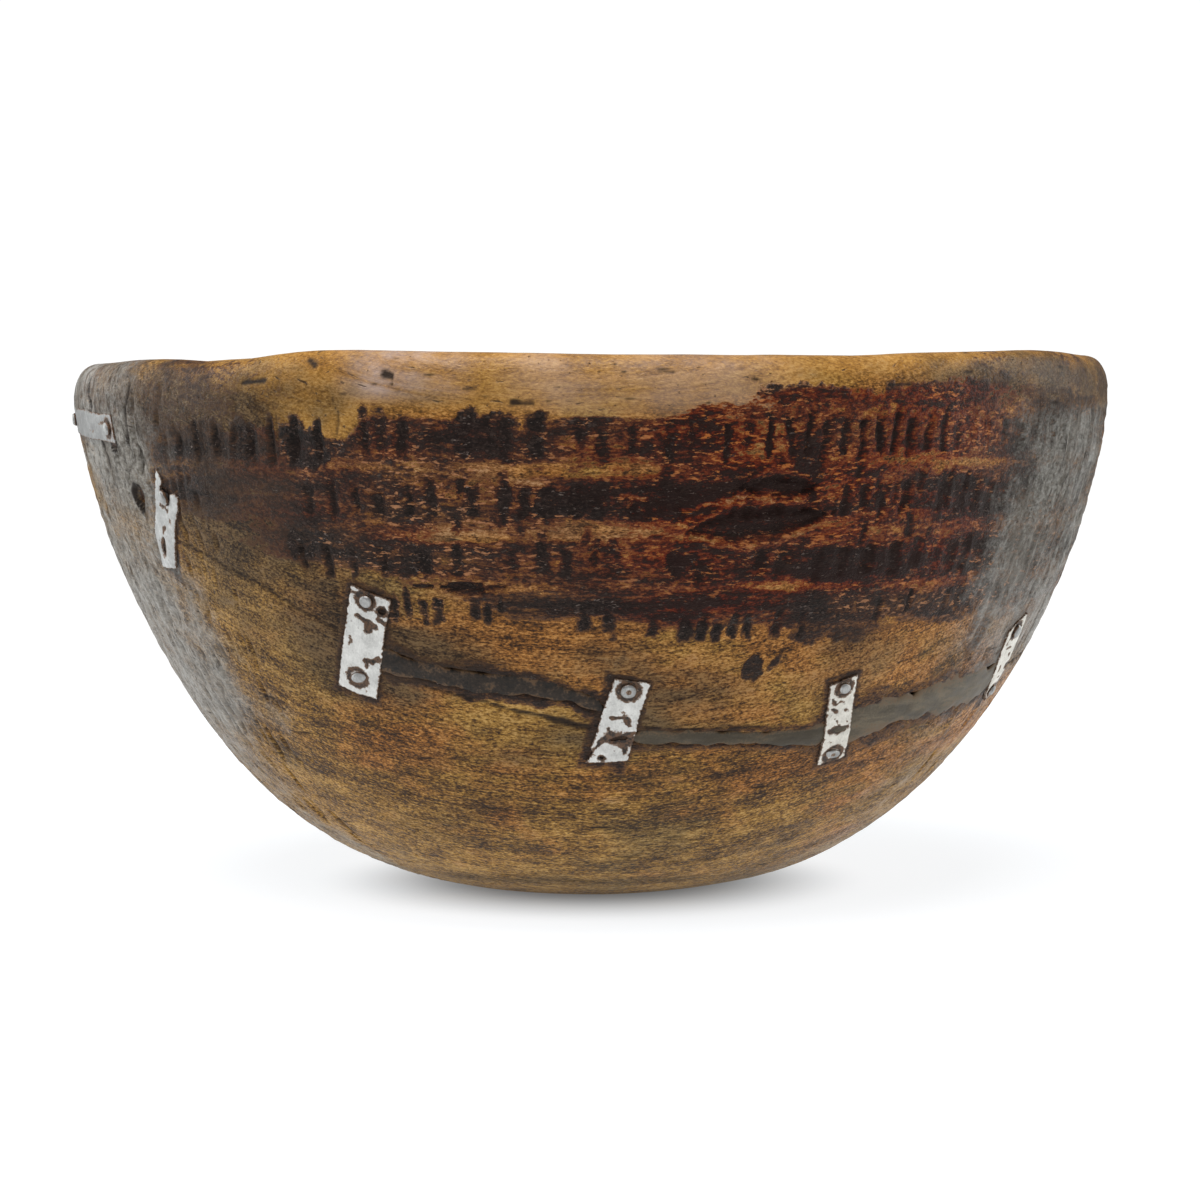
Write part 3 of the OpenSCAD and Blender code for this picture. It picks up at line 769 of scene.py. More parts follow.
class Shader:
    """A material with short ways to add nodes and join them."""

    def __init__(self, name):
        self.material = bpy.data.materials.new(name)
        self.material.use_nodes = True
        self.nodes = self.material.node_tree.nodes
        self.bsdf = self.nodes["Principled BSDF"]
        self.place = self.node("ShaderNodeTexCoord").outputs["Object"]

    def put(self, socket, value):
        """Set a socket, or link another node's output to it."""
        value = value.socket if isinstance(value, Value) else value
        if isinstance(value, bpy.types.NodeSocket):
            self.material.node_tree.links.new(value, socket)
        elif isinstance(value, tuple) and len(value) == 3 and socket.type == "RGBA":
            socket.default_value = (*value, 1)
        elif value is not None:
            socket.default_value = value

    def node(self, kind, inputs=(), **settings):
        """A new node with its settings made and its inputs filled, in their order or by name."""
        node = self.nodes.new(kind)
        for key, setting in settings.items():
            setattr(node, key, setting)
        pairs = inputs.items() if isinstance(inputs, dict) else enumerate(inputs)
        for key, value in pairs:
            self.put(node.inputs[key], value)
        return node

    def math(self, operation, *values, clamp=False):
        node = self.node("ShaderNodeMath", values, operation=operation, use_clamp=clamp)
        return Value(self, node.outputs[0])

    def step(self, value, low, high, out_low=0.0, out_high=1.0):
        """A smooth step of a value from out_low to out_high."""
        ends = (value, low, high, out_low, out_high)
        node = self.node("ShaderNodeMapRange", ends, interpolation_type="SMOOTHSTEP")
        return Value(self, node.outputs[0])

    def noise(self, vector, scale, detail, roughness=0.6, distortion=0.0):
        """Noise with one scale, or with a scale for each axis."""
        if isinstance(scale, tuple):
            vector = self.node("ShaderNodeMapping", {"Vector": vector, "Scale": scale}).outputs[0]
            scale = 1.0
        node = self.node("ShaderNodeTexNoise", {"Vector": vector, "Scale": scale, "Detail": detail,
                                      "Roughness": roughness, "Distortion": distortion})
        return Value(self, node.outputs[0])

    def ramp(self, value, *stops):
        """A colour ramp through (position, red, green, blue) stops."""
        node = self.node("ShaderNodeValToRGB", (value,))
        elements = node.color_ramp.elements
        while len(elements) < len(stops):
            elements.new(0.5)
        for element, (position, *colour) in zip(elements, stops):
            element.position = position
            element.color = (*colour, 1)
        return node.outputs[0]

    def mix(self, share, a, b):
        node = self.node("ShaderNodeMix", data_type="RGBA")
        self.put(node.inputs["Factor"], share)
        for label, value in (("A", a), ("B", b)):
            self.put([s for s in node.inputs if s.name == label and s.type == "RGBA"][0], value)
        return [s for s in node.outputs if s.type == "RGBA"][0]

    def attribute(self, name):
        """The four shares of a per-point colour."""
        node = self.node("ShaderNodeAttribute", attribute_name=name)
        parts = self.node("ShaderNodeSeparateColor", (node.outputs["Color"],)).outputs
        return [Value(self, s) for s in (*parts[:3], node.outputs["Alpha"])]

    def separate(self, vector):
        return [Value(self, s) for s in self.node("ShaderNodeSeparateXYZ", (vector,)).outputs]

    def surface(self, colour, roughness, height, strength, distance, specular=None):
        """Join the results to the material, and give it back."""
        bump = self.node("ShaderNodeBump", {"Height": height, "Strength": strength, "Distance": distance})
        for name, value in (("Base Color", colour), ("Roughness", roughness), ("Normal", bump.outputs[0])):
            self.put(self.bsdf.inputs[name], value)
        if specular is not None:
            self.bsdf.inputs["Specular IOR Level"].default_value = specular
        return self.material


# ---------------- wood

PITH_DEPTH = 0.1


def wood_material():
    """Old wood with its grain along X: golden where rubbed, charred in the band, grey at the ends, with
    painted highlights, glints and sheen in its colour.
    """
    s = Shader("old_wood")
    x, y, z = s.separate(s.place)
    low = z + PITH_DEPTH
    ring = s.math("SQRT", y * y + low * low)
    grain = s.node("ShaderNodeCombineXYZ", (x, ring, y * 0.25)).outputs[0]
    char_s, red_s, grey_s, dirt_and_shadow_s = s.attribute("marking")
    gold_s, polish_s, shade_s, rusty_s = s.attribute("wear_and_painted_light")

    broad = s.noise(grain, (2.0, 26, 8), 3, 0.55, 0.6)
    streak = s.noise(grain, (9, 170, 60), 5, 0.62, 0.8)
    fibre = s.noise(grain, (90, 1000, 600), 3)
    flecks = s.noise(grain, (150, 900, 900), 2, 0.5)
    clouds = s.noise(s.place, 22, 5, 0.62)
    mottle = s.noise(s.place, (60, 80, 95), 6, 0.68)
    specks = s.noise(s.place, (420, 420, 520), 2, 0.5)
    speckle = s.noise(s.place, (430, 900, 1050), 3, 0.65)
    dust = s.noise(s.place, (800, 1300, 1800), 2)

    fine_tone = speckle.swing(1.45) + dust.swing(1.3) + fibre.swing(0.75)
    tone = broad.swing(0.6) + streak.swing(0.62) + (mottle.swing(1.15) + (fine_tone + 0.5))
    golden = s.ramp(tone, (0.08, 0.03, 0.015, 0.007), (0.3, 0.1, 0.048, 0.014), (0.5, 0.23, 0.118, 0.026),
                    (0.66, 0.35, 0.19, 0.042), (0.9, 0.52, 0.31, 0.095))
    rust = s.ramp(tone, (0.08, 0.024, 0.012, 0.006), (0.3, 0.085, 0.036, 0.011), (0.5, 0.215, 0.086, 0.02),
                  (0.66, 0.36, 0.15, 0.034), (0.9, 0.54, 0.27, 0.08))
    wood = s.mix(s.step(rusty_s + mottle.swing(1.2), 0.25, 0.85), golden, rust)
    olive = s.ramp(tone, (0.15, 0.03, 0.022, 0.012), (0.5, 0.1, 0.072, 0.03), (0.85, 0.2, 0.155, 0.075))
    wood = s.mix(s.step(clouds, 0.48, 0.7, 0.0, 0.5), wood, olive)
    lip_tone = streak.swing(0.5) + mottle.swing(0.7) + (fine_tone * 0.42 + 0.5)
    lip = s.ramp(lip_tone, (0.1, 0.08, 0.036, 0.012), (0.32, 0.25, 0.118, 0.028),
                 (0.52, 0.395, 0.205, 0.048), (0.8, 0.54, 0.32, 0.1))
    wood = s.mix(polish_s * 0.85, wood, lip)
    wood = s.mix(gold_s * 0.9, wood, s.ramp(fine_tone + 0.5, (0.25, 0.18, 0.065, 0.02),
                                            (0.52, 0.42, 0.2, 0.08), (0.8, 0.56, 0.36, 0.2)))

    # A painted highlight: pale patches painted into the colour in two places along the lip
    left_highlight = s.step(x, -0.096, -0.078) * s.step(x, -0.036, -0.06, 0.0, 1.4) * s.step(z, 0.198, 0.206)
    mid_highlight = s.step(x, -0.045, -0.01) * s.step(x, 0.085, 0.045, 0.0, 0.55) * s.step(z, 0.192, 0.203)
    patches = s.step(clouds + streak.swing(0.6), 0.3, 0.62, 0.1, 1.0)
    painted_highlight = s.math("MAXIMUM", left_highlight, mid_highlight) * patches
    wood = s.mix(painted_highlight * 0.55, wood, (0.44, 0.35, 0.32))
    # Darkening from the shade channel: old grime and handling, and painted shade at the foot
    darkening = s.step(shade_s + mottle.swing(0.9), 0.1, 0.9, 0.0, 0.92)
    wood = s.mix(darkening, wood, s.ramp(tone, (0.25, 0.016, 0.01, 0.006), (0.5, 0.05, 0.031, 0.016),
                                     (0.8, 0.13, 0.084, 0.04)))

    # Two skins over the wood, a brown or red one and a black one. Noise breaks their edges.
    ragged = s.noise(s.place, (130, 150, 380), 6, 0.68)
    crust = s.noise(s.place, (420, 480, 700), 4, 0.68)
    chips = s.noise(s.place, (260, 300, 900), 3)
    breakup = ragged.swing(1.3) + crust.swing(1.1) + (fibre.swing(0.5) + speckle.swing(0.8))
    burnt = char_s + breakup * s.step(char_s, 0.03, 0.3, 0.25, 1.0)
    dusted = burnt + dust.swing(0.5)
    thin = s.ramp(dusted, (0.1, 0.23, 0.112, 0.036), (0.26, 0.135, 0.06, 0.022), (0.4, 0.066, 0.033, 0.018),
                  (0.52, 0.036, 0.019, 0.013), (0.66, 0.022, 0.014, 0.011))
    red_thin = s.ramp(dusted, (0.1, 0.37, 0.11, 0.023), (0.26, 0.215, 0.038, 0.008),
                      (0.4, 0.125, 0.018, 0.005), (0.52, 0.068, 0.01, 0.004), (0.66, 0.022, 0.006, 0.004))
    thin = s.mix(darkening * 0.75, thin, (0.04, 0.025, 0.016))
    colour = s.mix(s.step(burnt, 0.12, 0.3), wood, s.mix(red_s, thin, red_thin))
    bare = s.mix(red_s, (0.44, 0.215, 0.105), (0.48, 0.15, 0.03))
    chipped = s.step(chips, 0.57, 0.64) * s.step(char_s, 0.9, 0.6) * s.step(char_s, 0.12, 0.35, 0.0, 0.85)
    chipped = chipped * (s.step(z, 0.114, 0.124) * s.step(clouds, 0.4, 0.56, 0.15, 1.0))
    chipped = chipped * (s.step(x, -0.135, -0.11) * s.step(shade_s, 0.75, 0.35))
    colour = s.mix(chipped, colour, bare)
    black = s.ramp(ragged * 0.5 + dust * 0.5, (0.4, 0.004, 0.003, 0.0025), (0.52, 0.01, 0.007, 0.0055),
                   (0.62, 0.034, 0.022, 0.017))
    # Painted glints: grey flecks, and a few brighter specks, painted into the black skin where light catches
    # the rough char
    painted_glints = s.step(crust, 0.5, 0.64) * s.step(speckle, 0.44, 0.58, 0.15, 0.85)
    black = s.mix(painted_glints * s.step(red_s, 0.2, 0.7, 1.0, 0.35), black, (0.07, 0.048, 0.04))
    black = s.mix(s.step(chips, 0.58, 0.66) * s.step(dust, 0.5, 0.6), black, (0.19, 0.15, 0.13))
    black = s.mix(red_s * 0.6, black, (0.024, 0.0065, 0.004))
    colour = s.mix(s.step(burnt, 0.66, 0.8), colour, black)

    # Grey, cracked and drifted end grain, with painted sheen at the far ends and painted light low down
    end_grain = s.noise(s.place, (330, 330, 120), 5, 0.66)
    drifts = s.noise(s.place, (26, 26, 11), 4, 0.62, 0.4)
    weathered_and_sheen = s.ramp(speckle * 0.45 + specks * 0.55, (0.34, 0.06, 0.052, 0.042),
                       (0.5, 0.19, 0.178, 0.154), (0.66, 0.34, 0.328, 0.3))
    cracked = s.step(end_grain, 0.56, 0.68, 0.0, 0.85) * s.step(drifts, 0.4, 0.56, 0.35, 1.0)
    # Painted sheen: paler far out at the left and right ends, for the white surroundings reflected at a
    # grazing angle
    painted_end_sheen = s.step(x * x, 0.032, 0.0425, 0.0, 0.85) * s.step(drifts, 0.4, 0.56, 0.25, 1.0)
    for share, tint in (
            (cracked, (0.042, 0.032, 0.024)),
            (s.step(drifts, 0.5, 0.36, 0.0, 0.75), (0.12, 0.1, 0.076)),
            (s.step(end_grain, 0.42, 0.3, 0.0, 0.6), (0.4, 0.385, 0.35)),
            # Painted light: paler low down on the grey ends
            (s.step(z, 0.165, 0.105, 0.0, 0.45), (0.4, 0.385, 0.355)),
            (darkening * 0.5, (0.06, 0.045, 0.034)),
            (painted_end_sheen * s.step(end_grain, 0.62, 0.5, 0.3, 1.0), (0.42, 0.415, 0.39))):
        weathered_and_sheen = s.mix(share, weathered_and_sheen, tint)
    greyed = grey_s + (speckle.swing(0.5) + mottle.swing(1.3))
    colour = s.mix(s.step(greyed, 0.15, 0.95, 0.0, 0.96), colour, weathered_and_sheen)

    fleck_mask = s.step(flecks, 0.66, 0.76) * s.step(char_s, 0.7, 0.3, 0.0, 0.8)
    speck_mask = s.step(specks, 0.7, 0.78) * 0.75
    cavity = dirt_and_shadow_s + s.step(dirt_and_shadow_s, 0.02, 0.3) * speckle.swing(0.5)
    colour = s.mix(fleck_mask, colour, (0.03, 0.018, 0.012))
    colour = s.mix(speck_mask, colour, (0.022, 0.014, 0.01))
    colour = s.mix(s.step(cavity, 0.18, 0.85, 0.0, 0.95), colour, (0.02, 0.014, 0.011))

    shine = polish_s * -0.2 + crust.swing(0.7) + (cavity * 0.25 + darkening * 0.12)
    height = fibre * 0.2 + (speckle * 0.16 + specks * 0.2) + fleck_mask * -0.25 + speck_mask * -0.35
    height = height + (ragged * 0.9 + crust * 0.55) * (char_s * 0.75 + grey_s * 0.55)
    height = height + (dust + speckle) * s.step(char_s, 0.1, 0.5, 0.05, 0.3)
    height = height + s.step(end_grain, 0.5, 0.7) * (grey_s * -0.9)
    return s.surface(colour, s.math("ADD", shine, 0.44, clamp=True), height, 1.0, 0.001, 0.11)


def bowl():
    """The wooden body: one closed skin over the outside, the lip and the hollow."""
    outward = np.stack([NORMAL[:, :1] * SIN, -NORMAL[:, :1] * COS, NORMAL[:, 1:] * np.ones(COLUMNS)], -1)
    points = XYZ + relief[..., None] * outward
    points[..., 2] += LIP_SHARE[:, None] * rim_sway
    points[..., 2] = np.maximum(points[..., 2], 0)
    poles = [[0, 0, 0.25], [0, 0, float(points[-1, :, 2].mean())]]
    row = np.arange(RINGS - 1)[:, None] * COLUMNS
    col = np.arange(COLUMNS)[None, :]
    nxt = (col + 1) % COLUMNS
    quads = np.stack([row + col, row + nxt, row + COLUMNS + nxt, row + COLUMNS + col], -1)
    faces = quads.reshape(-1, 4).tolist()
    count, last = RINGS * COLUMNS, (RINGS - 1) * COLUMNS
    faces += [(count, (c + 1) % COLUMNS, c) for c in range(COLUMNS)]
    faces += [(count + 1, last + c, last + (c + 1) % COLUMNS) for c in range(COLUMNS)]
    mesh = bpy.data.meshes.new("bowl_wood")
    mesh.from_pydata(np.concatenate([points.reshape(-1, 3), poles]) * MM, [], faces)
    mesh.shade_smooth()
    obj = add_object("bowl_wood", mesh)
    # Besides burns, grime and rubbing, these channels carry painted light: shadow lines between the flutes
    # and glints on stroke edges in the first set, a highlight on a scar's edge and shade at the foot in the
    # second
    masks = (("marking", (char, red, grey, dirt_and_shadow), 1.2), ("wear_and_painted_light", (gold, polish, shade, rusty), 1))
    for name, fields, top in masks:
        flat = [np.clip(f, 0, top).ravel() for f in fields]
        paint(obj, name, *(np.concatenate([f, f[:1], f[-1:]]) for f in flat))
    finish_piece(obj, wood_material(), "bowl_body")


bowl()

# ---------------- fillings

TOP_POINTS = 15
UNDER_POINTS = 9


def filling(name, course, width, proud, material, seed):
    """A ribbon pressed into the crack: thick in the middle, thin at its ragged edges."""
    az, along, half = np.array(finer(line_points(course, width), 1.3)).T
    n = len(az)
    r = profile_point(along)[:, 0]
    run = np.stack([np.gradient(az) * math.pi / 180 * r, np.gradient(along)], 1)
    run_mm = np.cumsum(np.hypot(*run.T))
    run /= np.linalg.norm(run, axis=1)[:, None]
    half = half * np.sqrt(np.clip(np.minimum(np.arange(n), np.arange(n)[::-1]) / 4.0, 0.02, 1))
    course_at = np.stack([run_mm, 0 * run_mm, 0 * run_mm], 1)
    near_side, far_side = (rough(course_at, 9.0, seed + k, 3)[:, None] for k in (9, 40))
    t = np.concatenate([np.linspace(-1, 1, TOP_POINTS), np.linspace(1, -1, UNDER_POINTS)[1:-1]])
    on_top = np.arange(len(t)) < TOP_POINTS
    ragged_edge = np.where(t > 0, near_side, far_side)
    x = t * half[:, None] * (1.06 + 0.42 * ragged_edge * np.abs(t))
    place_az = az[:, None] - np.degrees(x * run[:, 1:] / r[:, None])
    place_s = along[:, None] + x * run[:, :1]
    wavy = rough(place(place_az, place_s, 0.0), (9, 9, 4), seed, 3)
    top = proud * (1 - t ** 2) - 0.85 * np.abs(t) ** 5 + 0.3 * wavy
    height = np.where(on_top, top, -0.7 - 1.9 * (1 - t ** 2)) + ground_at(place_az, place_s)
    k = len(t)
    faces = [(i * k + j, i * k + (j + 1) % k, (i + 1) * k + (j + 1) % k, (i + 1) * k + j)
             for i in range(n - 1) for j in range(k)]
    faces += [tuple(range(k))[::-1], tuple((n - 1) * k + j for j in range(k))]
    obj = make_mesh(name, place(place_az, place_s, height).reshape(-1, 3), faces)
    edge = np.broadcast_to(np.where(on_top, t ** 2, 1), (n, k)).reshape(-1)
    paint(obj, "edge", *[edge] * 4)
    finish_piece(obj, material, name)


def rubbed_edges(s, colour, lumps, grains, lump_size, grain_size, tint):
    """A filling's colour with its thin edges rubbed back to a brown."""
    rubbed = s.attribute("edge")[0] + (lumps.swing(lump_size) + grains.swing(grain_size))
    return s.mix(s.step(rubbed, 0.3, 0.75, 0.0, 0.85), colour, tint)


def pitch_material():
    """Hard black-brown pitch, worn dull."""
    s = Shader("old_pitch")
    lumps = s.noise(s.place, 160, 5, 0.65)
    grains = s.noise(s.place, 900, 3)
    tone = lumps * 0.6 + grains * 0.4
    colour = s.ramp(tone, (0.38, 0.008, 0.006, 0.004), (0.52, 0.027, 0.018, 0.012), (0.64, 0.07, 0.05, 0.034))
    colour = rubbed_edges(s, colour, lumps, grains, 3.0, 1.6, (0.11, 0.062, 0.03))
    return s.surface(colour, s.step(tone, 0.35, 0.7, 0.38, 0.62), tone, 0.8, 0.0006, 0.2)


def mastic_material():
    """Smooth grey-green mastic with rubbed-in dust."""
    s = Shader("old_mastic")
    smears = s.noise(s.place, (60, 60, 240), 4, 0.6, 0.5)
    grains = s.noise(s.place, 1100, 3)
    tone = smears * 0.7 + grains * 0.3
    colour = s.ramp(tone, (0.34, 0.036, 0.028, 0.016), (0.5, 0.088, 0.069, 0.042), (0.66, 0.17, 0.14, 0.094))
    colour = s.mix(s.step(s.separate(s.place)[0], 0.112, 0.08, 0.0, 0.6), colour, (0.04, 0.031, 0.019))
    colour = rubbed_edges(s, colour, smears, grains, 2.4, 2.0, (0.12, 0.074, 0.038))
    return s.surface(colour, s.step(tone, 0.3, 0.7, 0.36, 0.55), tone, 0.6, 0.0004, 0.22)


filling("pitch_filling", PITCH_COURSE, PITCH_W, 0.25, pitch_material(), 191)
filling("mastic_filling", MASTIC_COURSE, MASTIC_W, 0.2, mastic_material(), 192)

# ---------------- strips of sheet metal


LOOP_STEP = 0.8


def closed_loop(points, seed):
    """A closed outline with a point every step and a hand-cut edge."""
    draw = np.random.default_rng(seed)
    out = []
    for a, b in zip(np.array(points, float), np.array(points[1:] + points[:1], float)):
        n = max(2, int(np.linalg.norm(b - a) / LOOP_STEP))
        for i in range(n):
            out.append(a + (b - a) * i / n + draw.normal(0, 0.13, 2) * (i > 0))
    return np.array(out)


def round_loop(centre, half_w, half_h, seed, turn=0.0, wobble=0.12, pinch=0.0):
    """A closed loop round a hole: an ellipse, pinched into an eye where pinch is over 0."""
    draw = np.random.default_rng(seed)
    n = max(10, int(2 * math.pi * max(half_w, half_h) / LOOP_STEP))
    q = np.arange(n) * 2 * math.pi / n
    wave = 1 + wobble * np.sin(2 * q + draw.uniform(0, 6)) + 0.5 * wobble * np.sin(3 * q + draw.uniform(0, 6))
    x = half_w * np.cos(q) * wave
    y = half_h * np.sin(q) * wave * (1 - pinch * np.cos(q) ** 4)
    t = math.radians(turn)
    return np.stack([centre[0] + x * math.cos(t) - y * math.sin(t),
                     centre[1] + x * math.sin(t) + y * math.cos(t)], 1)


def inside_loop(loop, p):
    """Which points p lie inside a closed loop."""
    (ax, ay), (bx, by) = loop.T, np.roll(loop, -1, 0).T
    px, py = p[:, :1], p[:, 1:]
    crosses = (ay > py) != (by > py)
    at = ax + (py - ay) * ((bx - ax) / np.where(by == ay, 1e-9, by - ay))
    return (np.sum(crosses & (px < at), 1) % 2) == 1


def loop_distance(loop, p):
    """Distance of points from a closed loop's edge."""
    best = np.full(len(p), 1e9)
    for start, end in zip(loop, np.roll(loop, -1, 0)):
        d = end - start
        t = np.clip(((p - start) @ d) / max(float(d @ d), 1e-9), 0, 1)
        best = np.minimum(best, np.linalg.norm(p - (start + t[:, None] * d), axis=1))
    return best


def flat_sheet(outline, holes, spacing, seed):
    """Points and triangles that fill an outline and leave its holes open."""
    def filled(p):
        return inside_loop(outline, p) & ~np.any([inside_loop(h, p) for h in holes] or [False], axis=0)

    draw = np.random.default_rng(seed)
    low, high = outline.min(0), outline.max(0)
    gx, gy = np.meshgrid(np.arange(low[0], high[0], spacing), np.arange(low[1], high[1], spacing))
    p = np.stack([gx.ravel(), gy.ravel()], 1) + draw.uniform(-0.25, 0.25, (gx.size, 2)) * spacing
    loops = [outline, *holes]
    keep = filled(p) & np.all([loop_distance(loop, p) > 0.45 * spacing for loop in loops], axis=0)
    edges, start = [], 0
    for loop in loops:
        n = len(loop)
        edges += [(start + i, start + (i + 1) % n) for i in range(n)]
        start += n
    verts = [Vector(v) for v in np.concatenate(loops + [p[keep]])]
    got = delaunay_2d_cdt(verts, edges, [], 0, 1e-5)
    points = np.array([tuple(v) for v in got[0]])
    tri = np.array([tuple(f) for f in got[2] if len(f) == 3])
    tri = tri[filled(points[tri].mean(1))]
    used, renumbered = np.unique(tri, return_inverse=True)
    return points[used], renumbered.reshape(tri.shape)


def sheet_faces(tri, count):
    """Both faces of a sheet and the walls round its edges."""
    sides = [(t[k], t[(k + 1) % 3]) for t in tri for k in range(3)]
    known = set(sides)
    faces = [tuple(t) for t in tri] + [tuple(t[::-1] + count) for t in tri]
    return faces + [(b, a, a + count, b + count) for a, b in sides if (b, a) not in known]


def mark_sharp_edges(obj):
    """Crisp edges between a sheet's faces and its walls."""
    mesh = obj.data
    normal = np.empty(len(mesh.polygons) * 3)
    mesh.polygons.foreach_get("normal", normal)
    normal = normal.reshape(-1, 3)
    faces_of = {}
    for p in mesh.polygons:
        for key in p.edge_keys:
            faces_of.setdefault(key, []).append(p.index)
    pairs = [faces_of.get(tuple(sorted(e.vertices)), []) for e in mesh.edges]
    flags = np.array([len(p) == 2 and normal[p[0]] @ normal[p[1]] < 0.5 for p in pairs], bool)
    mesh.attributes.new("sharp_edge", "BOOLEAN", "EDGE").data.foreach_set("value", flags)


def metal_sheet(name, repair, material, outline, seed, holes=(), dents=(), stains=(), hollow=False):
    """A strip of sheet metal bent to the wood, outside the bowl or inside its hollow.

    holes are loops cut through it; dents are (x, y, radius, depth); stains are smears from one place
    to another, (x, y, x, y, width, level). Everything is in mm from the strip's middle, x across and
    y up it.
    """
    spacing, curl, slot = (1.1, 0.12, "backing_metal") if hollow else (0.75, 0.25, "strip_metal")
    edge = closed_loop(outline, seed)
    points, tri = flat_sheet(edge, holes, spacing, seed + 1)
    x, y = points.T
    az, along = on_strip(repair, x, y, hollow)
    to_edge = loop_distance(edge, points)
    flat = np.stack([x, y, np.zeros(len(x))], 1)
    lift = 0.16 * rough(flat, 9.0, seed + 2, 3)
    lift += curl * np.exp(-to_edge / 1.6) * noise(flat, 11.0, seed + 3) - 0.22 * hump(to_edge, 0, 0.55)
    grime = 0.55 * np.exp(-to_edge / 0.5)
    for hole in holes:
        far = loop_distance(hole, points)
        lift += 0.18 * hump(far, 1.8, 0.9) - 0.3 * hump(far, 0, 0.9)
        press(grime, hump(far, 0, 1.0))
    for cx, cy, radius, depth in dents:
        d = np.hypot(x - cx, y - cy) / radius
        lift -= depth * np.exp(-d ** 4)
        press(grime, min(1.0, depth * 1.6) * hump(d, 0.85, 0.35))
    sway_x, sway_y = (0.7 * noise(flat, 2.6, seed + k) for k in (6, 7))
    for x_a, y_a, x_b, y_b, wide, level in stains:
        run = np.array([x_b - x_a, y_b - y_a])
        share = np.clip(((x - x_a) * run[0] + (y - y_a) * run[1]) / max(float(run @ run), 1e-6), 0, 1)
        d = np.hypot(x + sway_x - x_a - share * run[0], y + sway_y - y_a - share * run[1]) / (0.72 * wide)
        press(grime, level * (1 - smooth(0.2, 1.8, d + 0.3 * noise(flat, 1.8, seed + 5))))
        lift -= 0.3 * level * (1 - smooth(0.4, 1.2, d))
    ground = ground_at(az, along) - BED_DEPTH
    outer = ground + STRIP_T + lift
    inner = np.minimum(ground - 0.05 + np.minimum(lift, 0) * 0.5, outer - 0.25)
    both = np.concatenate([place(az, along, outer), place(az, along, inner)])
    obj = make_mesh(name, both, sheet_faces(tri, len(points)))
    mark_sharp_edges(obj)
    grime, far = np.tile(grime, 2), np.tile(np.clip(to_edge / 4, 0, 1), 2)
    paint(obj, "grime", grime, far, grime, grime)
    finish_piece(obj, material, name)


def strip_material(name, base, warm, rust_level, metallic):
    """Whitened sheet metal: chalky oxide, scratches, and brown grime in its hollows."""
    s = Shader(name)
    grime = s.attribute("grime")[0]
    clouds = s.noise(s.place, 190, 5, 0.62)
    grains = s.noise(s.place, 1500, 3)
    scratches = s.noise(s.place, (2600, 500, 420), 2, 0.5)
    fray = s.noise(s.place, 560, 4, 0.68)
    tone = clouds * 0.55 + (grains * 0.25 + scratches * 0.2)
    colour = s.ramp(tone, (0.34, *(c * 0.68 for c in base)), (0.5, *base), (0.66, *warm))
    spots = s.step(s.noise(s.place, 640, 3, 0.55), 0.66, 0.74, 0.0, rust_level)
    colour = s.mix(spots, colour, (0.09, 0.052, 0.03))
    broken = grime + fray.swing(1.15) + grains.swing(0.55)
    darkening = s.step(broken, 0.5, 0.6)
    brown = s.mix(clouds, (0.125, 0.056, 0.022), (0.24, 0.16, 0.1))
    colour = s.mix(s.step(broken, 0.33, 0.46, 0.0, 0.9), colour, brown)
    thick = s.mix(s.step(fray, 0.42, 0.6), (0.018, 0.011, 0.007), (0.115, 0.058, 0.028))
    colour = s.mix(darkening, colour, thick)
    s.put(s.bsdf.inputs["Metallic"], s.math("SUBTRACT", 1.0, darkening) * metallic)
    roughness = darkening * 0.22 + s.step(tone, 0.3, 0.7, 0.56, 0.4)
    return s.surface(colour, roughness, tone * 0.8 + darkening * -0.5, 0.6, 0.0004)


WHITE_METAL = strip_material("white_metal", (0.6, 0.595, 0.565), (0.76, 0.755, 0.72), 0.65, 0.3)
WARM_METAL = strip_material("warm_metal", (0.66, 0.63, 0.56), (0.8, 0.775, 0.71), 0.6, 0.25)
DULL_METAL = strip_material("dull_metal", (0.42, 0.42, 0.4), (0.58, 0.575, 0.55), 0.7, 0.55)
GREY_METAL = strip_material("grey_metal", (0.27, 0.27, 0.262), (0.42, 0.42, 0.41), 0.6, 0.3)
LEAD_METAL = strip_material("lead_metal", (0.42, 0.42, 0.405), (0.6, 0.6, 0.58), 0.6, 0.3)
RIVET_METAL = strip_material("rivet_iron", (0.33, 0.33, 0.32), (0.5, 0.5, 0.49), 0.5, 0.75)

metal_sheet(
    "near_left_strip", "near_left", WHITE_METAL,
    [(-8.1, -22.6), (-0.5, -23.0), (8.0, -22.4), (8.3, -8), (7.9, 6), (8.2, 22.8), (1, 22.4), (-8.0, 22.9),
     (-7.8, 9), (-8.3, -7)],
    seed=210,
    holes=[round_loop((5.5, 17.0), 1.7, 1.6, 201)],
    dents=[(-1.5, 18.9, 3.9, 0.55), (-0.5, -15.5, 4.4, 0.5)],
    stains=[(-3.6, 11.8, 0.4, 10.4, 1.7, 0.95), (0.4, 10.4, 1.2, 7.0, 2.2, 0.95),
            (1.2, 9.0, 4.4, 9.8, 1.5, 0.85), (4.8, 13.6, 7.6, 13.0, 1.6, 0.9),
            (-5.6, 0.8, -5.2, -1.4, 1.2, 0.75), (6.8, -3.2, 5.2, -6.0, 1.3, 0.9),
            (5.2, -6.0, 2.0, -6.6, 1.4, 0.9), (3.4, -6.6, 3.0, -9.6, 1.1, 0.8),
            (-6.6, 20.8, -5.4, 21.2, 1.2, 0.8), (-5.4, -11.6, -3.6, -10.4, 0.9, 0.6),
            (1.4, -20.4, 3.6, -20.0, 0.8, 0.5)])
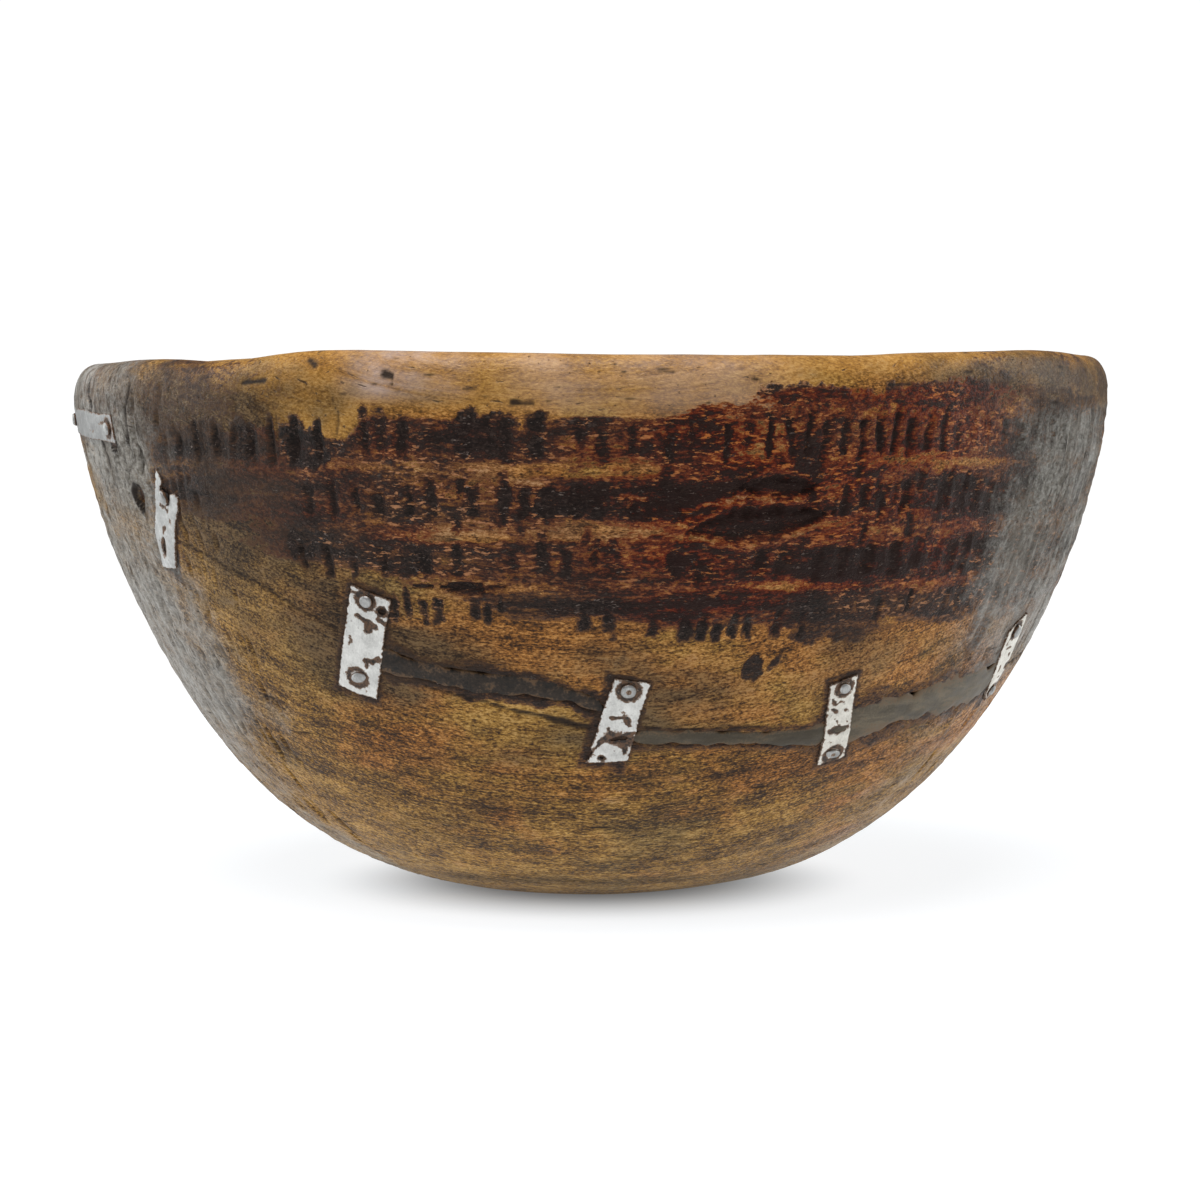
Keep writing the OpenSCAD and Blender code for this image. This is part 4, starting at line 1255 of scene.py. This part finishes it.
metal_sheet(
    "centre_strip", "centre", WHITE_METAL,
    [(-5.4, 20.6), (-6.1, 6), (-5.7, -6), (-6.2, -12.0), (-4.6, -14.0), (-6.1, -19.3), (-2.6, -18.6),
     (1.5, -17.6), (8.7, -15.2), (8.4, -3), (7.6, 8), (8.0, 21.4), (1.5, 20.8)],
    seed=230,
    holes=[round_loop((-0.9, -15.9), 0.9, 0.7, 221), round_loop((3.2, -5.6), 2.6, 1.3, 222, 28, 0.3)],
    dents=[(1.0, 16.5, 4.5, 0.5)],
    stains=[(-2.4, 3.0, 4.0, 4.6, 1.5, 0.9), (3.6, 4.8, 4.6, 1.6, 1.6, 0.9), (0.6, 6.6, 2.2, 6.0, 0.8, 0.6),
            (0.6, -5.2, 5.6, -5.4, 4.2, 1.0), (-0.8, -4.6, -3.6, -9.8, 1.4, 0.95),
            (-4.0, -9.8, -5.0, -12.8, 1.0, 0.9), (5.6, -6.4, 6.8, -11.6, 1.3, 0.95),
            (5.2, -3.8, 7.4, -1.8, 1.4, 0.9), (-0.6, -3.4, -2.2, -2.0, 1.1, 0.8),
            (-4.4, -15.8, -2.0, -15.4, 0.8, 0.6)])
metal_sheet(
    "near_right_strip", "near_right", WARM_METAL,
    [(-5.7, 19.6), (-6.1, 7), (-5.6, -6), (-6.2, -20.6), (0, -21.0), (5.9, -20.6), (6.2, -7), (5.7, 6),
     (6.2, 20.8), (1, 20.2)],
    seed=250,
    holes=[round_loop((0.3, -3.4), 2.6, 0.8, 241, -24, 0.2, 0.4)],
    dents=[(0.6, 16.5, 3.9, 0.5), (0.0, -16.6, 4.3, 0.55)],
    stains=[(-3.8, 12.4, -3.0, 9.8, 0.9, 0.8), (-1.2, 10.6, 0.8, 9.8, 0.8, 0.7),
            (-3.6, 7.4, -1.6, 6.2, 0.9, 0.75), (1.8, 6.0, 3.4, 4.8, 0.8, 0.7),
            (-2.8, 2.6, -0.8, 0.4, 0.9, 0.8), (-0.8, 0.4, 0.4, -2.0, 0.9, 0.8),
            (-3.4, -3.2, 0.2, -4.8, 1.6, 0.95),
            (0.2, -4.8, 4.0, -3.6, 1.8, 0.95), (3.6, 0.4, 4.4, -1.6, 0.9, 0.6),
            (-3.4, -8.6, -1.8, -9.6, 0.8, 0.55), (-5.0, -20.0, -3.0, -20.4, 0.8, 0.6)])
metal_sheet(
    "left_strip", "left", LEAD_METAL,
    [(-7.1, 12.8), (-6.8, 17.5), (-6.6, 23.6), (-4.4, 22.4), (-2.6, 19.6), (-4.0, 17.2), (-3.5, 12.2),
     (-0.8, 10.2), (1.9, 11.8), (2.6, 17.0), (4.6, 18.8), (7.3, 18.6), (7.6, 13), (6.3, 7), (6.1, -3),
     (5.2, -15.6), (0.2, -18.6), (-4.6, -20.6), (-5.6, -13), (-7.9, -5.6), (-6.9, 2), (-6.6, 8)],
    seed=270,
    holes=[round_loop((-1.4, -8.8), 0.7, 4.2, 261, -4, 0.2)],
    stains=[(-3.0, 9.4, 1.6, 9.0, 1.2, 0.7), (-0.6, 1.2, -1.2, -2.2, 0.9, 0.7),
            (3.2, 6.4, 3.6, 4.4, 0.8, 0.5), (-1.4, -6.0, -1.4, -13.0, 2.0, 0.6)])
metal_sheet(
    "right_strip", "right", WARM_METAL,
    [(-7.0, 17.6), (-6.7, 5), (-5.3, -8), (-3.4, -16), (-0.6, -20.6), (1.8, -19.0), (4.6, -12), (6.6, -1),
     (7.0, 10), (6.9, 20.4), (0, 19.4)],
    seed=290,
    holes=[round_loop((4.4, -4.0), 1.2, 1.0, 281)],
    dents=[(0.4, 15.0, 4.0, 0.5), (0.4, -15.0, 3.4, 0.4)],
    stains=[(-2.8, 7.6, 0.6, 6.6, 1.0, 0.8), (0.6, 3.4, 2.6, 1.8, 1.0, 0.75),
            (-3.0, -1.4, -2.2, -4.2, 1.1, 0.75), (0.2, -8.6, 2.0, -9.4, 1.0, 0.75),
            (-4.4, 12.2, -4.0, 10.0, 0.9, 0.6)])
metal_sheet(
    "rim_strap", "rim_strap", GREY_METAL,
    [(-5.6, 38.6), (-5.3, 20), (-5.7, 0), (-5.2, -20), (-5.6, -39.4), (5.5, -39.8), (5.2, -18), (5.6, 2),
     (5.1, 22), (5.3, 39.6), (0, 39.2)],
    seed=300,
    dents=[(0, 34, 3.9, 0.5), (0, -34, 3.9, 0.5)],
    stains=[(-2.0, 29, -1.2, 24, 1.0, 0.6), (2.4, 15, 2.0, 9, 0.9, 0.55), (-2.0, -4, -2.4, -12, 0.9, 0.55),
            (1.4, -22, 1.6, -27, 1.1, 0.55)])

# The plain strips inside the bowl that the rivet tails bear on
for number, (repair, (*_, length, width, rivets)) in enumerate(REPAIRS.items()):
    h, w = length / 2 - 1, width / 2 - 1
    metal_sheet(
        repair + "_backing", repair, DULL_METAL,
        [(-w, -h + 0.6), (0, -h + 0.2), (w, -h), (w + 0.2, 0), (w, h - 0.4), (-w, h), (-w - 0.2, 0)],
        seed=400 + 10 * number,
        dents=[(0, up, 3.6, 0.3) for up in rivets.values()],
        stains=[(-w * 0.3, 0.4 * h, -w * 0.2, 0.05 * h, 1.4, 0.7),
                (w * 0.4, -0.3 * h, w * 0.5, -0.45 * h, 1.2, 0.7)],
        hollow=True)

# ---------------- rivets

SHANK_R = 1.6
RIVET_SIDES = 40
RIVET_SHAPES = {
    "left_rivet": {"head_r": 2.6, "oval": 0.8, "turn": 20, "sink": 0.1, "offset": -0.8},
    "near_left_top_rivet": {"head_r": 2.6, "offset": -1.2, "sink": 0.25},
    "near_left_bottom_rivet": {"head_r": 2.8, "head_h": 1.0, "oval": 1.25, "turn": 15, "sink": 0.3},
    "centre_rivet": {"head_r": 3.1, "head_h": 1.3, "dimple": 0.55, "offset": 0.8, "sink": 0.2},
    "near_right_top_rivet": {"head_r": 2.5, "head_h": 1.4, "oval": 1.1, "turn": -20, "offset": 0.5,
                             "sink": 0.25},
    "near_right_bottom_rivet": {"head_r": 2.7, "head_h": 1.0, "oval": 1.35, "turn": -10, "dimple": 0.4,
                                "sink": 0.35},
    "right_top_rivet": {"head_r": 2.6, "oval": 0.85, "turn": 10, "sink": 0.2},
    "right_bottom_rivet": {"head_r": 2.3, "oval": 0.9, "sink": 0.25},
}


def rivet(name, repair, up, seed, head_r=2.7, head_h=1.5, oval=1.0, turn=0.0, dimple=0.0, sink=0.0,
          offset=0.0):
    """A hammered rivet: head outside, shank through the wall, and a tail peened over inside."""
    az, s = (float(v) for v in on_strip(repair, offset, up))
    inside_s = float(on_strip(repair, offset, up, True)[1])
    metal = STRIP_T - BED_DEPTH
    base = float(ground_at(az, s)) + metal - sink
    p_in = place(az, inside_s, float(ground_at(az, inside_s)) + metal)
    p_out = place(az, s, 0.0)
    t = math.radians(az)
    n = profile_normal(s)
    out = np.array([n[0] * math.sin(t), -n[0] * math.cos(t), n[1]])
    depth = float((p_out - p_in) @ out)
    side = np.array([math.cos(t), math.sin(t), 0.0])
    across = np.cross(out, side)
    shank = SHANK_R / head_r
    # Share of the head's radius and height of each ring, from the middle of the head to the tail's
    rings = [(0.0, base + head_h - dimple), (0.3, base + head_h - dimple * 0.75),
             (0.52, base + head_h - 0.05), (0.68, base + head_h * 0.93), (0.84, base + head_h * 0.7),
             (0.95, base + head_h * 0.38), (1.0, base + head_h * 0.12), (0.98, base - 0.25),
             (shank, base - 0.3), (shank, -depth * 0.5), (shank, -depth + 0.1), (0.86, -depth),
             (0.9, -depth - 0.35), (0.72, -depth - 0.8), (0.35, -depth - 1.05), (0.0, -depth - 1.1)]
    q = np.arange(RIVET_SIDES) * 2 * math.pi / RIVET_SIDES
    spin = math.radians(turn)
    verts, shares = [], []
    for share, height in rings:
        level = 0.75 * smooth(0.86, 1.0, share) + 0.5 * (dimple > 0) * (share < 0.4)
        if share == 0.0:
            verts.append(p_out + out * height)
            shares.append(level)
            continue
        level_at = np.full(RIVET_SIDES, height)
        shape = 1 + 0.05 * noise(np.stack([np.cos(q), np.sin(q), level_at], 1), 0.9, seed)
        wide = 1 if share * head_r <= SHANK_R + 0.01 else oval
        lx = head_r * share * shape * np.cos(q) * wide
        ly = head_r * share * shape * np.sin(q) / wide
        px = lx * math.cos(spin) - ly * math.sin(spin)
        py = lx * math.sin(spin) + ly * math.cos(spin)
        bumps = 0.1 * rough(np.stack([px, py, level_at], 1), 1.4, seed + 1, 2) * (share < 0.97)
        verts.extend(p_out + np.outer(height + bumps, out) + np.outer(px, side) + np.outer(py, across))
        shares.extend([level] * RIVET_SIDES)
    last = len(verts) - 1
    turns = [(k, (k + 1) % RIVET_SIDES) for k in range(RIVET_SIDES)]
    faces = [(0, 1 + k, 1 + j) for k, j in turns]
    for a in range(1, last - RIVET_SIDES, RIVET_SIDES):
        b = a + RIVET_SIDES
        faces += [(a + k, b + k, b + j, a + j) for k, j in turns]
    faces += [(last - RIVET_SIDES + k, last, last - RIVET_SIDES + j) for k, j in turns]
    obj = make_mesh(name, np.array(verts), faces)
    paint(obj, "grime", *[shares] * 4)
    finish_piece(obj, RIVET_METAL, name)


rivet_seed = 500
for repair, (*_, rivets) in REPAIRS.items():
    for end, up in rivets.items():
        rivet_seed += 1
        name = "_".join(filter(None, (repair, end, "rivet")))
        rivet(name, repair, up, rivet_seed, **RIVET_SHAPES.get(name, {}))

# ---------------- floor, light and camera

FLOOR_R = 0.85
FLOOR_GAP = 0.0002
SHADOW_R = (0.038, 0.118)


def floor():
    """A pale round floor that glows from within, less and bluer near the bowl, which paints a soft shadow
    round its foot; far out it meets the white.
    """
    steps = 96
    mesh = bpy.data.meshes.new("floor")
    turns = [2 * math.pi * k / steps for k in range(steps)]
    mesh.from_pydata([(FLOOR_R * math.cos(a), FLOOR_R * math.sin(a), -FLOOR_GAP) for a in turns], [],
                     [tuple(range(steps))])
    obj = add_object("floor", mesh)
    s = Shader("pale_floor")
    x, y, _ = s.separate(s.place)
    # Painted shadow: near the bowl the floor glows less and its colour is bluer
    away = s.step(s.math("SQRT", x * x + y * y), *SHADOW_R)
    s.put(s.bsdf.inputs["Base Color"], s.mix(away, (0.38, 0.41, 0.45), (0.26, 0.265, 0.27)))
    s.bsdf.inputs["Roughness"].default_value = 0.9
    s.bsdf.inputs["Specular IOR Level"].default_value = 0.1
    s.bsdf.inputs["Emission Color"].default_value = (0.96, 0.98, 1.0, 1)
    s.put(s.bsdf.inputs["Emission Strength"], s.math("MULTIPLY_ADD", away, 0.72, 0.12))
    obj.data.materials.append(s.material)


def soft_light(name, size, power, place, target, colour):
    data = bpy.data.lights.new(name, "AREA")
    data.shape = "RECTANGLE"
    data.size, data.size_y = size
    data.energy = power
    data.color = colour
    obj = add_object(name, data)
    obj.location = place
    obj.rotation_euler = (Vector(target) - Vector(place)).to_track_quat("-Z", "Y").to_euler()
    obj.visible_camera = False


def surroundings():
    """White where the camera sees it, and dimmer as a light."""
    world = bpy.data.worlds.new("surroundings")
    world.use_nodes = True
    bpy.context.scene.world = world
    nodes, links = world.node_tree.nodes, world.node_tree.links
    background = nodes["Background"]
    path = nodes.new("ShaderNodeLightPath")
    level = nodes.new("ShaderNodeMapRange")
    level.inputs["To Min"].default_value = 0.14
    level.inputs["To Max"].default_value = 1.05
    links.new(path.outputs["Is Camera Ray"], level.inputs["Value"])
    links.new(level.outputs[0], background.inputs["Strength"])
    background.inputs["Color"].default_value = (1, 1, 1, 1)


floor()
surroundings()
soft_light("overhead", (1.9, 1.3), 52, (-0.15, -0.5, 2.3), (0, 0, 0.1), (1.0, 0.985, 0.99))
soft_light("front_key", (1.7, 0.6), 21, (-0.45, -1.55, 2.05), (0, 0, 0.15), (1.0, 0.985, 1.0))
soft_light("left_wall", (1.2, 1.6), 19, (-1.5, 0.35, 0.6), (0, 0, 0.12), (0.97, 0.99, 1.0))
soft_light("right_wall", (1.2, 1.6), 17, (1.5, 0.35, 0.6), (0, 0, 0.12), (0.98, 1.0, 0.99))

CAMERA_OUT = 1.5
CAMERA_SIDE = 0.0033
CAMERA_PITCH = 3.9
CAMERA_LENS = 109.0


def camera():
    data = bpy.data.cameras.new("camera")
    data.lens = CAMERA_LENS
    data.sensor_width = 36.0
    obj = add_object("camera", data)
    obj.location = (CAMERA_SIDE, -CAMERA_OUT, BOWL_H * MM)
    obj.rotation_euler = (math.radians(90 - CAMERA_PITCH), 0, 0)
    bpy.context.scene.camera = obj
    bpy.context.scene.view_settings.view_transform = "Standard"


camera()
